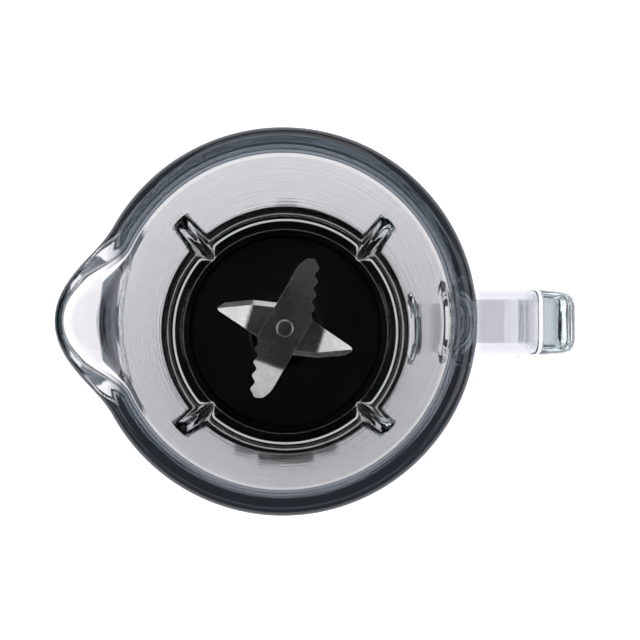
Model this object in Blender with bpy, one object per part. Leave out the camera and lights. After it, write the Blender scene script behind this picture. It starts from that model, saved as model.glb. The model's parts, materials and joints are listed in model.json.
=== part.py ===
"""Countertop blender: a heavy glass jug with a blade unit, standing on a motor base.

Units are metres, +Z is up and the floor is z = 0. The jug's axis stands at
x = AXIS_X, y = 0. The handle points to +X, the pouring lip to -X and the
control panel to -Y. Lathe profiles are (radius, height) pairs.
"""

import math

import bmesh
import bpy
from mathutils import Matrix, Vector

MM = 0.001
GAP = 0.3 * MM
TOO_SMALL = 1e-7

# Driving dimensions of the glass jug
RIM_Z = 322 * MM
RIM_OUTER_R = 70 * MM
RIM_INNER_R = 61 * MM
NECK_OUTER_R = 65.2 * MM
NECK_Z = RIM_Z - 24 * MM
JUG_BOTTOM_Z = 143 * MM
JUG_FOOT_OUTER_R = 56.2 * MM
FLOOR_Z = 157 * MM
FLOOR_INNER_R = 50.7 * MM
JUG_MOUTH_R = 46 * MM

# Pouring lip: how far the outside and the inside of the wall swell at -X
LIP_REACH = 12.1 * MM
LIP_INNER_REACH = 16.7 * MM
LIP_HALF_ANGLE = math.radians(29)
LIP_INNER_HALF_ANGLE = math.radians(26)
LIP_DEPTH = 20 * MM
LIP_CURVE = 1.9
LIP_BEAD = 5 * MM

# Four mixing ribs on the inside of the wall
RIB_COUNT = 4
RIB_PROUD = 6.3 * MM
RIB_PROUD_AT_TOP = 2.2 * MM
RIB_HALF_WIDTH = 6 * MM
RIB_BOTTOM_Z = 153 * MM
RIB_TOP_Z = 262 * MM
RIB_END = 10 * MM

# Handle
HANDLE_REACH = 110.5 * MM
HANDLE_WIDTH = 24 * MM
GRIP_THICK = 15.7 * MM
BRIDGE_THICK = 20 * MM
HANDLE_TOP_Z = RIM_Z - 15 * MM
HANDLE_LOW_Z = 198 * MM
HANDLE_BEND_R = 14 * MM
UPPER_ROOT_R = 63 * MM
LOWER_ROOT_R = 55 * MM

# Collar and blade unit
COLLAR_R = 59 * MM
COLLAR_BOTTOM_Z = 131 * MM
COLLAR_TOP_Z = 170 * MM
HOLDER_RING_R = 43.3 * MM
HOLDER_FLOOR_Z = 149.5 * MM
HUB_TOP_Z = 195 * MM
SHAFT_R = 3 * MM
LOWER_BLADE_Z = 200 * MM
LOWER_BLADE_THICK = 1.6 * MM
UPPER_BLADE_THICK = 1.7 * MM
UPPER_BLADE_Z = LOWER_BLADE_Z + LOWER_BLADE_THICK + GAP
RIVET_R = 3.7 * MM
RIVET_TOP_Z = 207 * MM
UPPER_BLADE_TURN = math.radians(70)
LOWER_BLADE_TURN = math.radians(162.5)
BLADE_BEND_AT = 15.9 * MM
UPPER_BLADE_BEND = math.radians(24)
LOWER_BLADE_BEND = math.radians(-20)
TOOTH_COUNT = 4

# Motor base
BASE_FOOT_R = 84 * MM
BASE_WALL = 3 * MM
BASE_BOTTOM_Z = 4 * MM
BASE_SHOULDER_R = 66.2 * MM
BASE_SHOULDER_Z = 126 * MM
BASE_SKIRT_R = 82.6 * MM
BASE_SKIRT_Z = 16 * MM
SEAT_R = 62.1 * MM
SEAT_LEDGE_Z = 127.5 * MM
SEAT_TOP_Z = 136.5 * MM
WELL_R = 60 * MM
WELL_FLOOR_Z = COLLAR_BOTTOM_Z - GAP
COUPLING_HOLE_R = 15 * MM
PLATE_THICK = 3 * MM
PLATE_TOP_Z = BASE_BOTTOM_Z + PLATE_THICK
FOOT_CIRCLE_R = 66 * MM
SCREW_CIRCLE_R = 75.5 * MM
SCREW_ANGLE = math.radians(20)
DAMPER_CIRCLE_R = 44 * MM

# Motor
ROTOR_R = 17 * MM
STATOR_BORE_R = 17.8 * MM
STATOR_BOTTOM_Z = 52 * MM
STATOR_TOP_Z = 84 * MM
MOTOR_SHAFT_R = 4 * MM
MOTOR_BOLT_X = 31 * MM

# Control panel, whose face leans back with the wall
PANEL_WIDTH = 58 * MM
PANEL_HEIGHT = 78 * MM
PANEL_DEPTH = 9 * MM
PANEL_SKIN = 2.5 * MM
PANEL_PROUD = 0.6 * MM
KNOB_Z = 72 * MM
KNOB_R = 17.5 * MM
KNOB_HEIGHT = 6.4 * MM
BUTTON_Z = 101 * MM
BUTTON_R = 7.5 * MM

# Interlock pin under the jug's collar
PIN_CIRCLE_R = 52.5 * MM
PIN_ANGLE = math.radians(60)

# The jug's axis: the foot's left edge and the handle's end lie equally far from x = 0
AXIS_X = -(HANDLE_REACH - BASE_FOOT_R) / 2

WALL_LEAN = math.atan2(BASE_SKIRT_R - BASE_SHOULDER_R, BASE_SHOULDER_Z - BASE_SKIRT_Z)


def wall_radius(height):
    """Radius of the base's cone at this height."""
    return BASE_SHOULDER_R + (BASE_SHOULDER_Z - height) * math.tan(WALL_LEAN)


# ---------------------------------------------------------------- materials


def finish(name, colour, roughness, metallic=0.0, transmission=0.0):
    material = bpy.data.materials.new(name)
    material.use_nodes = True
    shader = material.node_tree.nodes["Principled BSDF"]
    shader.inputs["Base Color"].default_value = (*colour, 1)
    shader.inputs["Roughness"].default_value = roughness
    shader.inputs["Metallic"].default_value = metallic
    shader.inputs["Transmission Weight"].default_value = transmission
    material.diffuse_color = (*colour, 1)
    return material


def make_finishes():
    return {
        "glass": finish("glass", (0.9, 0.95, 0.95), 0.02, transmission=1.0),
        "black": finish("black_plastic", (0.012, 0.012, 0.013), 0.35),
        "shell": finish("shell_plastic", (0.72, 0.72, 0.74), 0.32),
        "trim": finish("trim_plastic", (0.52, 0.52, 0.54), 0.4),
        "steel": finish("blade_steel", (0.62, 0.61, 0.6), 0.22, metallic=1.0),
        "shaft": finish("shaft_steel", (0.5, 0.5, 0.5), 0.3, metallic=1.0),
        "bronze": finish("bush_bronze", (0.45, 0.3, 0.14), 0.4, metallic=1.0),
        "copper": finish("copper_wire", (0.6, 0.25, 0.12), 0.4, metallic=1.0),
        "core": finish("core_steel", (0.3, 0.3, 0.32), 0.5, metallic=1.0),
        "carbon": finish("brush_carbon", (0.03, 0.03, 0.03), 0.7),
        "rubber": finish("foot_rubber", (0.03, 0.03, 0.03), 0.8),
        "silicone": finish("seal_silicone", (0.7, 0.7, 0.68), 0.55),
        "board": finish("board_laminate", (0.05, 0.22, 0.1), 0.5),
    }


# ---------------------------------------------------------------- mesh tools


def pivot(name, location, rotation=(0, 0, 0)):
    """An empty that holds the pieces of one axis."""
    empty = bpy.data.objects.new(name, None)
    empty.location = location
    empty.rotation_euler = rotation
    bpy.context.scene.collection.objects.link(empty)
    return empty


def add(name, mesh_build, material, parent):
    """A named object from a bmesh, smooth over its round stretches."""
    bmesh.ops.recalc_face_normals(mesh_build, faces=mesh_build.faces)
    mesh = bpy.data.meshes.new(name)
    mesh_build.to_mesh(mesh)
    mesh_build.free()
    mesh.shade_smooth()
    mesh.set_sharp_from_angle(angle=math.radians(35))
    part = bpy.data.objects.new(name, mesh)
    part.parent = parent
    bpy.context.scene.collection.objects.link(part)
    if material:
        mesh.materials.append(material)
    return part


def tool(name, mesh_build, parent):
    """A hidden shape that cuts or joins, and is not a piece itself."""
    shape = add(name, mesh_build, None, parent)
    shape.hide_render = True
    shape.display_type = "WIRE"
    return shape


def combine(part, shape, operation):
    modifier = part.modifiers.new(operation.lower(), "BOOLEAN")
    modifier.object = shape
    modifier.operation = operation
    modifier.solver = "EXACT"


def cut(part, shape):
    combine(part, shape, "DIFFERENCE")


def join(part, shape):
    combine(part, shape, "UNION")


def loft(rings, closed_length):
    """Faces between rings of equally many points. A one-point ring closes an end."""
    build = bmesh.new()
    made = [[build.verts.new(point) for point in ring] for ring in rings]
    count = len(made) if closed_length else len(made) - 1
    for i in range(count):
        here = made[i]
        there = made[(i + 1) % len(made)]
        around = max(len(here), len(there))
        for j in range(around):
            k = (j + 1) % around
            corners = [here[j % len(here)], here[k % len(here)]]
            corners += [there[k % len(there)], there[j % len(there)]]
            corners = list(dict.fromkeys(corners))
            if len(corners) > 2:
                build.faces.new(corners)
    if not closed_length:
        for end in (made[0], made[-1]):
            if len(end) > 2:
                build.faces.new(end)
    return build


def turned(profile, segments=32):
    """A lathe shape. The profile runs from axis to axis, or round a closed ring."""
    rings = []
    for radius, height in profile:
        if radius < TOO_SMALL:
            rings.append([Vector((0, 0, height))])
            continue
        turns = [math.tau * i / segments for i in range(segments)]
        rings.append([Vector((radius * math.cos(a), radius * math.sin(a), height)) for a in turns])
    reaches_axis = len(rings[0]) == 1
    return loft(rings, closed_length=not reaches_axis)


def ring(inner, outer, bottom, top, segments=16):
    """A plain round ring or washer."""
    return turned([(inner, bottom), (outer, bottom), (outer, top), (inner, top)], segments)


def pin(radius, bottom, top, segments=16):
    return turned([(0, bottom), (radius, bottom), (radius, top), (0, top)], segments)


def block(low, high):
    """A box from its lowest corner to its highest."""
    build = bmesh.new()
    size = Vector(high) - Vector(low)
    middle = (Vector(high) + Vector(low)) / 2
    bmesh.ops.create_cube(build, size=1, matrix=Matrix.Translation(middle) @ Matrix.Diagonal((*size, 1)))
    return build


def soft_block(low, high, radius, axis=2):
    """A box whose edges along one axis are rounded."""
    build = block(low, high)
    along = [e for e in build.edges if abs((e.verts[0].co - e.verts[1].co)[axis]) > TOO_SMALL]
    bmesh.ops.bevel(build, geom=along, offset=radius, segments=4, profile=0.5, affect="EDGES")
    return build


def slab(outline, bottom, top):
    """A flat outline, given as (x, y) points, with a thickness."""
    rings = [[Vector((x, y, z)) for x, y in outline] for z in (bottom, top)]
    return loft(rings, closed_length=False)


def rounded_section(width, thick, radius, corner_points=3):
    """Points round a rounded rectangle, as (across, through) pairs."""
    points = []
    for corner, (sx, sy) in enumerate(((1, 1), (-1, 1), (-1, -1), (1, -1))):
        for i in range(corner_points):
            angle = math.radians(90) * (corner + i / (corner_points - 1))
            x = sx * (width / 2 - radius) + radius * math.cos(angle)
            y = sy * (thick / 2 - radius) + radius * math.sin(angle)
            points.append((x, y))
    return points


def star_outline(tip_r, root_r, points):
    """A star with flat-topped teeth, as on a drive coupling."""
    outline = []
    steps = points * 4
    for i in range(steps):
        radius = tip_r if i % 4 < 2 else root_r
        angle = math.tau * i / steps
        outline.append((radius * math.cos(angle), radius * math.sin(angle)))
    return outline


def coil_spring(name, wire_r, coil_r, low, high, turns, material, parent, centre=(0, 0)):
    """A helical wire with filled ends."""
    steps = turns * 8
    curve = bpy.data.curves.new(name, "CURVE")
    curve.dimensions = "3D"
    curve.bevel_depth = wire_r
    curve.bevel_resolution = 1
    curve.use_fill_caps = True
    spline = curve.splines.new("POLY")
    spline.points.add(steps)
    for i, point in enumerate(spline.points):
        angle = math.tau * turns * i / steps
        height = low + (high - low) * i / steps
        x = centre[0] + coil_r * math.cos(angle)
        y = centre[1] + coil_r * math.sin(angle)
        point.co = (x, y, height, 1)
    curve.materials.append(material)
    spring = bpy.data.objects.new(name, curve)
    spring.parent = parent
    bpy.context.scene.collection.objects.link(spring)
    return spring


def on_circle(radius, angle):
    return (radius * math.cos(angle), radius * math.sin(angle))


def quarter_turns(offset=0.0):
    return [math.radians(90) * i + offset for i in range(4)]


# ---------------------------------------------------------------- glass jug


def smooth_step(t):
    t = min(max(t, 0.0), 1.0)
    return t * t * (3 - 2 * t)


def cosine_bump(t):
    """1 at t = 0, falling smoothly to 0 at t = 1."""
    return math.cos(math.radians(90) * min(abs(t), 1.0)) ** 2


def lip_swell(angle, height, inside):
    """How far the wall moves out for the pouring lip."""
    off = abs(math.remainder(angle - math.pi, math.tau))
    half = LIP_INNER_HALF_ANGLE if inside else LIP_HALF_ANGLE
    reach = LIP_INNER_REACH if inside else LIP_REACH
    down = max(RIM_Z - LIP_BEAD - height, 0.0) / LIP_DEPTH
    rise = max(1 - down, 0.0) ** LIP_CURVE
    return reach * cosine_bump(off / half) * rise


def rib_swell(angle, height, radius):
    """How far a mixing rib stands in from the wall."""
    if not RIB_BOTTOM_Z <= height <= RIB_TOP_Z:
        return 0.0
    quarter = math.tau / RIB_COUNT
    off = math.remainder(angle - quarter / 2, quarter) * radius
    down = (RIB_TOP_Z - height) / (RIB_TOP_Z - RIB_BOTTOM_Z)
    proud = RIB_PROUD_AT_TOP + (RIB_PROUD - RIB_PROUD_AT_TOP) * down
    half = RIB_HALF_WIDTH * (0.8 + 0.2 * down)
    end = smooth_step((RIB_TOP_Z - height) / RIB_END)
    return proud * end * cosine_bump(off / half)


def jug_angles():
    """Directions round the wall, closer together at the ribs."""
    quarter = (0, 8, 16, 24, 31, 36, 38.5, 41, 43, 45, 47, 49, 51.5, 54, 59, 66, 74, 82)
    return [math.radians(90 * i + step) for i in range(4) for step in quarter]


def jug_profile():
    """(radius, height, inside) points: up the outside, over the rim and down the inside."""
    outside = [(JUG_FOOT_OUTER_R - 1 * MM, JUG_BOTTOM_Z), (JUG_FOOT_OUTER_R, JUG_BOTTOM_Z + 1 * MM)]
    outside += [(JUG_FOOT_OUTER_R, COLLAR_TOP_Z + 1 * MM)]
    for part in (0.25, 0.5, 0.75, 1.0):
        height = COLLAR_TOP_Z + (NECK_Z - COLLAR_TOP_Z) * part
        outside.append((JUG_FOOT_OUTER_R + (NECK_OUTER_R - JUG_FOOT_OUTER_R) * part, height))
    bead = RIM_OUTER_R - NECK_OUTER_R
    outside += [(NECK_OUTER_R + bead * 0.5, RIM_Z - 18 * MM), (RIM_OUTER_R, RIM_Z - 12 * MM)]
    outside += [(RIM_OUTER_R, RIM_Z - 5 * MM), (RIM_OUTER_R - 1.6 * MM, RIM_Z - 1.6 * MM)]
    outside += [(RIM_OUTER_R - 4 * MM, RIM_Z)]
    inside = [(RIM_INNER_R + 2.4 * MM, RIM_Z - 1 * MM), (RIM_INNER_R, RIM_Z - 5 * MM)]
    slope = (RIM_INNER_R - FLOOR_INNER_R) / (RIM_Z - FLOOR_Z)
    for drop in (12, 20, 28, 36, 48, 59, 65, 71, 90, 112, 134, 152):
        height = RIM_Z - drop * MM
        inside.append((RIM_INNER_R - slope * drop * MM, height))
    inside += [(FLOOR_INNER_R, RIB_BOTTOM_Z + 4 * MM), (JUG_MOUTH_R + 1.5 * MM, RIB_BOTTOM_Z - 1 * MM)]
    inside += [(JUG_MOUTH_R, RIB_BOTTOM_Z - 3 * MM), (JUG_MOUTH_R, JUG_BOTTOM_Z)]
    return [(r, z, False) for r, z in outside] + [(r, z, True) for r, z in inside]


def jug_wall():
    rings = []
    for radius, height, inside in jug_profile():
        around = []
        for angle in jug_angles():
            reach = radius + lip_swell(angle, height, inside)
            if inside:
                reach -= rib_swell(angle, height, radius)
            around.append(Vector((*on_circle(reach, angle), height)))
        rings.append(around)
    return loft(rings, closed_length=True)


def handle_path():
    """Centre line of the handle: out from the wall, down the grip and back in."""
    top_z = HANDLE_TOP_Z - BRIDGE_THICK / 2
    grip_x = HANDLE_REACH - GRIP_THICK / 2
    path = [(UPPER_ROOT_R, top_z), (grip_x - 2 * HANDLE_BEND_R + 4 * MM, top_z)]
    for i in range(5):
        turn = math.radians(90) * i / 4
        x = grip_x - HANDLE_BEND_R + HANDLE_BEND_R * math.sin(turn)
        z = top_z - HANDLE_BEND_R + HANDLE_BEND_R * math.cos(turn)
        path.append((x, z))
    for i in range(5):
        turn = math.radians(90) * i / 4
        x = grip_x - HANDLE_BEND_R + HANDLE_BEND_R * math.cos(turn)
        z = HANDLE_LOW_Z + HANDLE_BEND_R - HANDLE_BEND_R * math.sin(turn)
        path.append((x, z))
    path.append((LOWER_ROOT_R, HANDLE_LOW_Z))
    return [Vector((x, 0, z)) for x, z in path]


def handle_sweep():
    path = handle_path()
    rings = []
    for i, point in enumerate(path):
        before = path[max(i - 1, 0)]
        after = path[min(i + 1, len(path) - 1)]
        along = (after - before).normalized()
        out = Vector((-along.z, 0, along.x))
        steepness = abs(along.z)
        thick = BRIDGE_THICK + (GRIP_THICK - BRIDGE_THICK) * steepness
        section = rounded_section(HANDLE_WIDTH, thick, 6 * MM)
        rings.append([point + Vector((0, across, 0)) + out * through for across, through in section])
    return loft(rings, closed_length=False)


def make_jug(stand, finishes):
    jug = add("glass_jug", jug_wall(), finishes["glass"], stand)
    join(jug, tool("handle_shape", handle_sweep(), stand))


# ---------------------------------------------------------------- blade unit


def make_collar(stand, finishes):
    bore = JUG_FOOT_OUTER_R + 0.5 * MM
    ledge = COLLAR_BOTTOM_Z + 6 * MM
    profile = [
        (50 * MM, COLLAR_BOTTOM_Z),
        (COLLAR_R - 1 * MM, COLLAR_BOTTOM_Z),
        (COLLAR_R, COLLAR_BOTTOM_Z + 1 * MM),
        (COLLAR_R, COLLAR_TOP_Z - 1 * MM),
        (COLLAR_R - 1 * MM, COLLAR_TOP_Z),
        (bore, COLLAR_TOP_Z),
        (bore, ledge),
        (47 * MM, ledge),
        (47 * MM, ledge - 3.5 * MM),
    ]
    add("jug_collar", turned(profile, 40), finishes["black"], stand)


def make_seal(stand, finishes):
    seal = ring(46.6 * MM, 55 * MM, JUG_BOTTOM_Z - 1.5 * MM, JUG_BOTTOM_Z - GAP, 32)
    add("jug_seal", seal, finishes["silicone"], stand)


def make_holder(stand, finishes):
    """The black floor of the jug, with the tall hub that carries the blade shaft."""
    seat_r = 7.2 * MM
    bore_r = 5.5 * MM
    flange_z = COLLAR_BOTTOM_Z + 6 * MM + GAP
    flange_top = JUG_BOTTOM_Z - 1.8 * MM
    spigot_r = JUG_MOUTH_R - 0.4 * MM
    profile = [
        (54.5 * MM, flange_z),
        (54.5 * MM, flange_top),
        (spigot_r, flange_top),
        (spigot_r, HOLDER_FLOOR_Z + 1.5 * MM),
        (spigot_r - 0.8 * MM, HOLDER_FLOOR_Z + 2.3 * MM),
        (HOLDER_RING_R, HOLDER_FLOOR_Z + 2.3 * MM),
        (HOLDER_RING_R - 1.3 * MM, HOLDER_FLOOR_Z),
        (17 * MM, HOLDER_FLOOR_Z),
        (14 * MM, HOLDER_FLOOR_Z + 3 * MM),
        (12 * MM, HOLDER_FLOOR_Z + 12 * MM),
        (10 * MM, HUB_TOP_Z - 3 * MM),
        (9 * MM, HUB_TOP_Z),
        (seat_r, HUB_TOP_Z),
        (seat_r, HUB_TOP_Z - 14 * MM),
        (bore_r, HUB_TOP_Z - 14 * MM),
        (bore_r, flange_z + 5 * MM),
        (seat_r, flange_z + 5 * MM),
        (seat_r, flange_z - 3 * MM),
        (11.5 * MM, flange_z - 3 * MM),
        (11.5 * MM, HOLDER_FLOOR_Z - 3 * MM),
        (41 * MM, HOLDER_FLOOR_Z - 3 * MM),
        (43 * MM, flange_z),
    ]
    add("blade_holder", turned(profile, 32), finishes["black"], stand)
    bush_r = seat_r - GAP
    hole_r = SHAFT_R + 0.2 * MM
    upper = ring(hole_r, bush_r, HUB_TOP_Z - 7.5 * MM, HUB_TOP_Z)
    add("upper_bush", upper, finishes["bronze"], stand)
    seal = ring(hole_r, bush_r, HUB_TOP_Z - 13.7 * MM, HUB_TOP_Z - 7.8 * MM)
    add("shaft_seal", seal, finishes["silicone"], stand)
    lower = ring(hole_r, bush_r, flange_z - 3 * MM, flange_z + 4.7 * MM)
    add("lower_bush", lower, finishes["bronze"], stand)


def bent_plate(half_outline, bend, thick, bottom):
    """A flat two-armed blade whose arms bend along lines across it.

    The outline covers one arm and its half of the middle, from the trailing bend
    point round the tip to the leading bend point; a half turn gives the other arm.
    Outlines are given seen from below; the blades turn clockwise seen from above.
    """
    build = bmesh.new()
    arm = [Vector((point[0], -point[1])) for point in half_outline["arm"]]
    middle = [Vector((point[0], -point[1])) for point in half_outline["middle"]]

    def lift(point):
        beyond = max(abs(point.x) - BLADE_BEND_AT, 0.0)
        return bottom + beyond * math.tan(bend)

    lows, highs = {}, {}

    def corner(point, store, rise):
        key = (round(point.x, 7), round(point.y, 7))
        if key not in store:
            store[key] = build.verts.new((point.x, point.y, lift(point) + rise))
        return store[key]

    loop = arm + middle
    loop += [-point for point in loop]
    arm_back = [-point for point in arm]
    middle_loop = [arm[0]] + [arm[-1]] + middle + [arm_back[0]] + [arm_back[-1]] + [-p for p in middle]
    for outline in (arm, middle_loop, arm_back):
        build.faces.new([corner(point, highs, thick) for point in outline])
        build.faces.new([corner(point, lows, 0.0) for point in reversed(outline)])
    for i, point in enumerate(loop):
        follow = loop[(i + 1) % len(loop)]
        under = [corner(point, lows, 0.0), corner(follow, lows, 0.0)]
        over = [corner(follow, highs, thick), corner(point, highs, thick)]
        build.faces.new(under + over)
    return build


def serrated_edge():
    """Tooth tips and valleys of the upper blade, from the tip of the arm to its bend."""
    first_tip = Vector((25.8, 5.5)) * MM
    pitch = Vector((-5.65, 1.25)) * MM
    notch = Vector((-3.5, -0.75)) * MM
    points = []
    for i in range(TOOTH_COUNT):
        tooth = first_tip + pitch * i
        points.append(tooth)
        if i < TOOTH_COUNT - 1:
            points.append(tooth + notch)
    return points


def upper_blade_outline():
    teeth = serrated_edge()
    tip = [Vector((26.6, -3.6)), Vector((30.2, -1.0)), Vector((31.2, 1.8)), Vector((31.0, 3.3))]
    tip = [point * MM for point in tip] + [Vector((27.9, 3.4)) * MM]
    trailing_slope = (-3.6 + 10.1) / (26.6 + 6.2)
    trailing_bend = Vector((BLADE_BEND_AT, -10.1 * MM + (BLADE_BEND_AT + 6.2 * MM) * trailing_slope))
    outer = [point for point in teeth if point.x > BLADE_BEND_AT]
    inner = [point for point in teeth if point.x <= BLADE_BEND_AT]
    leading_bend = outer[-1].lerp(inner[0], (outer[-1].x - BLADE_BEND_AT) / (outer[-1].x - inner[0].x))
    middle = inner + [Vector((6.9, 7.4)) * MM, Vector((6.2, 10.1)) * MM]
    return {"arm": [trailing_bend] + tip + outer + [leading_bend], "middle": middle}


def lower_blade_outline():
    tip = [Vector((29.5, -0.8)), Vector((30.0, 0.0)), Vector((28.6, 2.6))]
    trailing_bend = Vector((BLADE_BEND_AT, -4.6 * MM))
    leading_bend = Vector((BLADE_BEND_AT, 7.55 * MM))
    middle = [Vector((6.5, 9.5)) * MM, Vector((-1.7, 9.1)) * MM]
    return {"arm": [trailing_bend] + [point * MM for point in tip] + [leading_bend], "middle": middle}


def make_blades(stand, finishes):
    """Everything that turns with the blades."""
    axis = pivot("blade_axis", (0, 0, LOWER_BLADE_Z))
    axis.parent = stand
    drop = Matrix.Translation((0, 0, -LOWER_BLADE_Z))

    def add_turning(name, build, material):
        bmesh.ops.transform(build, matrix=drop, verts=build.verts)
        return add(name, build, finishes[material], axis)

    hole = pin(SHAFT_R + 0.3 * MM, LOWER_BLADE_Z - 2 * MM, RIVET_TOP_Z)
    bmesh.ops.transform(hole, matrix=drop, verts=hole.verts)
    hole = tool("blade_hole", hole, axis)

    lower = bent_plate(lower_blade_outline(), LOWER_BLADE_BEND, LOWER_BLADE_THICK, LOWER_BLADE_Z)
    lower = add_turning("lower_blade", lower, "steel")
    lower.rotation_euler.z = LOWER_BLADE_TURN
    upper = bent_plate(upper_blade_outline(), UPPER_BLADE_BEND, UPPER_BLADE_THICK, UPPER_BLADE_Z)
    upper = add_turning("upper_blade", upper, "steel")
    upper.rotation_euler.z = UPPER_BLADE_TURN
    cut(lower, hole)
    cut(upper, hole)

    blade_top = UPPER_BLADE_Z + UPPER_BLADE_THICK
    shaft_bottom = COLLAR_BOTTOM_Z - 11.5 * MM
    add_turning("blade_shaft", pin(SHAFT_R, shaft_bottom, blade_top), "shaft")
    spacer = ring(SHAFT_R + 0.3 * MM, 6.5 * MM, HUB_TOP_Z + GAP, LOWER_BLADE_Z - GAP)
    add_turning("blade_spacer", spacer, "shaft")
    dome = [(0, blade_top + GAP), (RIVET_R, blade_top + GAP), (RIVET_R, RIVET_TOP_Z - 1 * MM)]
    dome += [(RIVET_R - 0.7 * MM, RIVET_TOP_Z - 0.2 * MM), (0, RIVET_TOP_Z)]
    add_turning("blade_rivet", turned(dome, 24), "steel")

    neck_top = COLLAR_BOTTOM_Z + 1.4 * MM
    clip = ring(SHAFT_R + 0.3 * MM, 6 * MM, neck_top + GAP, neck_top + 1.2 * MM)
    add_turning("shaft_clip", clip, "shaft")
    star = slab(star_outline(7.2 * MM, 5.8 * MM, 6), COLLAR_BOTTOM_Z - 12.5 * MM, neck_top)
    dog = add_turning("jug_coupling", star, "trim")
    bore = pin(SHAFT_R + 0.3 * MM, COLLAR_BOTTOM_Z - 14 * MM, neck_top + 1 * MM)
    bmesh.ops.transform(bore, matrix=drop, verts=bore.verts)
    cut(dog, tool("jug_coupling_bore", bore, axis))


# ---------------------------------------------------------------- motor base


def make_housing(stand, finishes):
    inner_low = BASE_SKIRT_R - BASE_WALL
    inner_high = BASE_SHOULDER_R - BASE_WALL
    ledge_r = SEAT_R - 4.6 * MM
    profile = [
        (BASE_FOOT_R - BASE_WALL, BASE_BOTTOM_Z),
        (BASE_FOOT_R - 1 * MM, BASE_BOTTOM_Z),
        (BASE_FOOT_R, BASE_BOTTOM_Z + 1.5 * MM),
        (BASE_FOOT_R, BASE_BOTTOM_Z + 5 * MM),
        (BASE_SKIRT_R, BASE_SKIRT_Z),
        (BASE_SHOULDER_R, BASE_SHOULDER_Z),
        (BASE_SHOULDER_R - 0.8 * MM, BASE_SHOULDER_Z + 4.5 * MM),
        (SEAT_R + 1.6 * MM, BASE_SHOULDER_Z + 7.5 * MM),
        (SEAT_R + GAP, BASE_SHOULDER_Z + 8 * MM),
        (SEAT_R + GAP, SEAT_LEDGE_Z),
        (ledge_r, SEAT_LEDGE_Z),
        (ledge_r, SEAT_LEDGE_Z - 3 * MM),
        (inner_high, SEAT_LEDGE_Z - 3 * MM),
        (inner_low, BASE_SKIRT_Z),
        (BASE_FOOT_R - BASE_WALL, BASE_BOTTOM_Z + 6 * MM),
    ]
    housing = add("base_housing", turned(profile, 40), finishes["shell"], stand)
    for i, angle in enumerate(quarter_turns(SCREW_ANGLE)):
        x, y = on_circle(SCREW_CIRCLE_R, angle)
        boss = turned_at(pin(4.4 * MM, PLATE_TOP_Z + GAP, 25 * MM, 16), x, y)
        join(housing, tool(f"boss_{i}", boss, stand))
        hole = turned_at(pin(2 * MM, PLATE_TOP_Z - 1 * MM, 22 * MM, 12), x, y)
        cut(housing, tool(f"boss_hole_{i}", hole, stand))
    return housing


def turned_at(build, x, y):
    bmesh.ops.translate(build, vec=(x, y, 0), verts=build.verts)
    return build


def make_seat(stand, finishes):
    """The dark ring in the base's top that the collar drops into."""
    under = SEAT_LEDGE_Z + GAP
    profile = [
        (COUPLING_HOLE_R, under),
        (SEAT_R, under),
        (SEAT_R, SEAT_TOP_Z - 1 * MM),
        (SEAT_R - 0.6 * MM, SEAT_TOP_Z),
        (WELL_R + 0.6 * MM, SEAT_TOP_Z),
        (WELL_R, SEAT_TOP_Z - 0.8 * MM),
        (WELL_R, WELL_FLOOR_Z),
        (COUPLING_HOLE_R, WELL_FLOOR_Z),
    ]
    seat = add("jug_seat", turned(profile, 40), finishes["trim"], stand)
    x, y = on_circle(PIN_CIRCLE_R, PIN_ANGLE)
    hole = turned_at(pin(2.5 * MM, under - 2 * MM, WELL_FLOOR_Z + 2 * MM, 16), x, y)
    cut(seat, tool("pin_hole", hole, stand))


def make_plate(stand, finishes):
    disc = pin(BASE_FOOT_R - BASE_WALL - 0.4 * MM, BASE_BOTTOM_Z, PLATE_TOP_Z, 40)
    plate = add("base_plate", disc, finishes["trim"], stand)
    for i, angle in enumerate(quarter_turns()):
        x, y = on_circle(DAMPER_CIRCLE_R, angle)
        post = turned_at(pin(7 * MM, PLATE_TOP_Z - 1 * MM, PLATE_TOP_Z + 4 * MM, 16), x, y)
        join(plate, tool(f"damper_post_{i}", post, stand))
    for i, angle in enumerate(quarter_turns(SCREW_ANGLE)):
        x, y = on_circle(SCREW_CIRCLE_R, angle)
        below, ledge, above = BASE_BOTTOM_Z - 1 * MM, BASE_BOTTOM_Z + 1.6 * MM, PLATE_TOP_Z + 1 * MM
        sink = [(0, below), (4 * MM, below), (4 * MM, ledge)]
        sink += [(2 * MM, ledge), (2 * MM, above), (0, above)]
        cut(plate, tool(f"screw_hole_{i}", turned_at(turned(sink, 16), x, y), stand))
    for i, angle in enumerate(quarter_turns(math.radians(45))):
        x, y = on_circle(FOOT_CIRCLE_R, angle)
        hole = turned_at(pin(4 * MM, BASE_BOTTOM_Z - 1 * MM, PLATE_TOP_Z + 1 * MM, 16), x, y)
        cut(plate, tool(f"foot_hole_{i}", hole, stand))
    for i in range(12):
        below, above = BASE_BOTTOM_Z - 1 * MM, PLATE_TOP_Z + 1 * MM
        slot = block((16 * MM, -1.5 * MM, below), (33 * MM, 1.5 * MM, above))
        slot = tool(f"vent_{i}", slot, stand)
        slot.rotation_euler.z = math.tau * (i + 0.5) / 12
        cut(plate, slot)


def make_feet(stand, finishes):
    under = BASE_BOTTOM_Z - GAP
    barb = PLATE_TOP_Z + GAP
    profile = [(0, 0), (8.5 * MM, 0), (9 * MM, 0.8 * MM), (9 * MM, under), (3.7 * MM, under)]
    profile += [(3.7 * MM, barb), (4.6 * MM, barb), (3.2 * MM, barb + 2.5 * MM), (0, barb + 2.5 * MM)]
    for i, angle in enumerate(quarter_turns(math.radians(45))):
        foot = add(f"foot_{i + 1}", turned(profile, 16), finishes["rubber"], stand)
        foot.location = (*on_circle(FOOT_CIRCLE_R, angle), 0)


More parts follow.
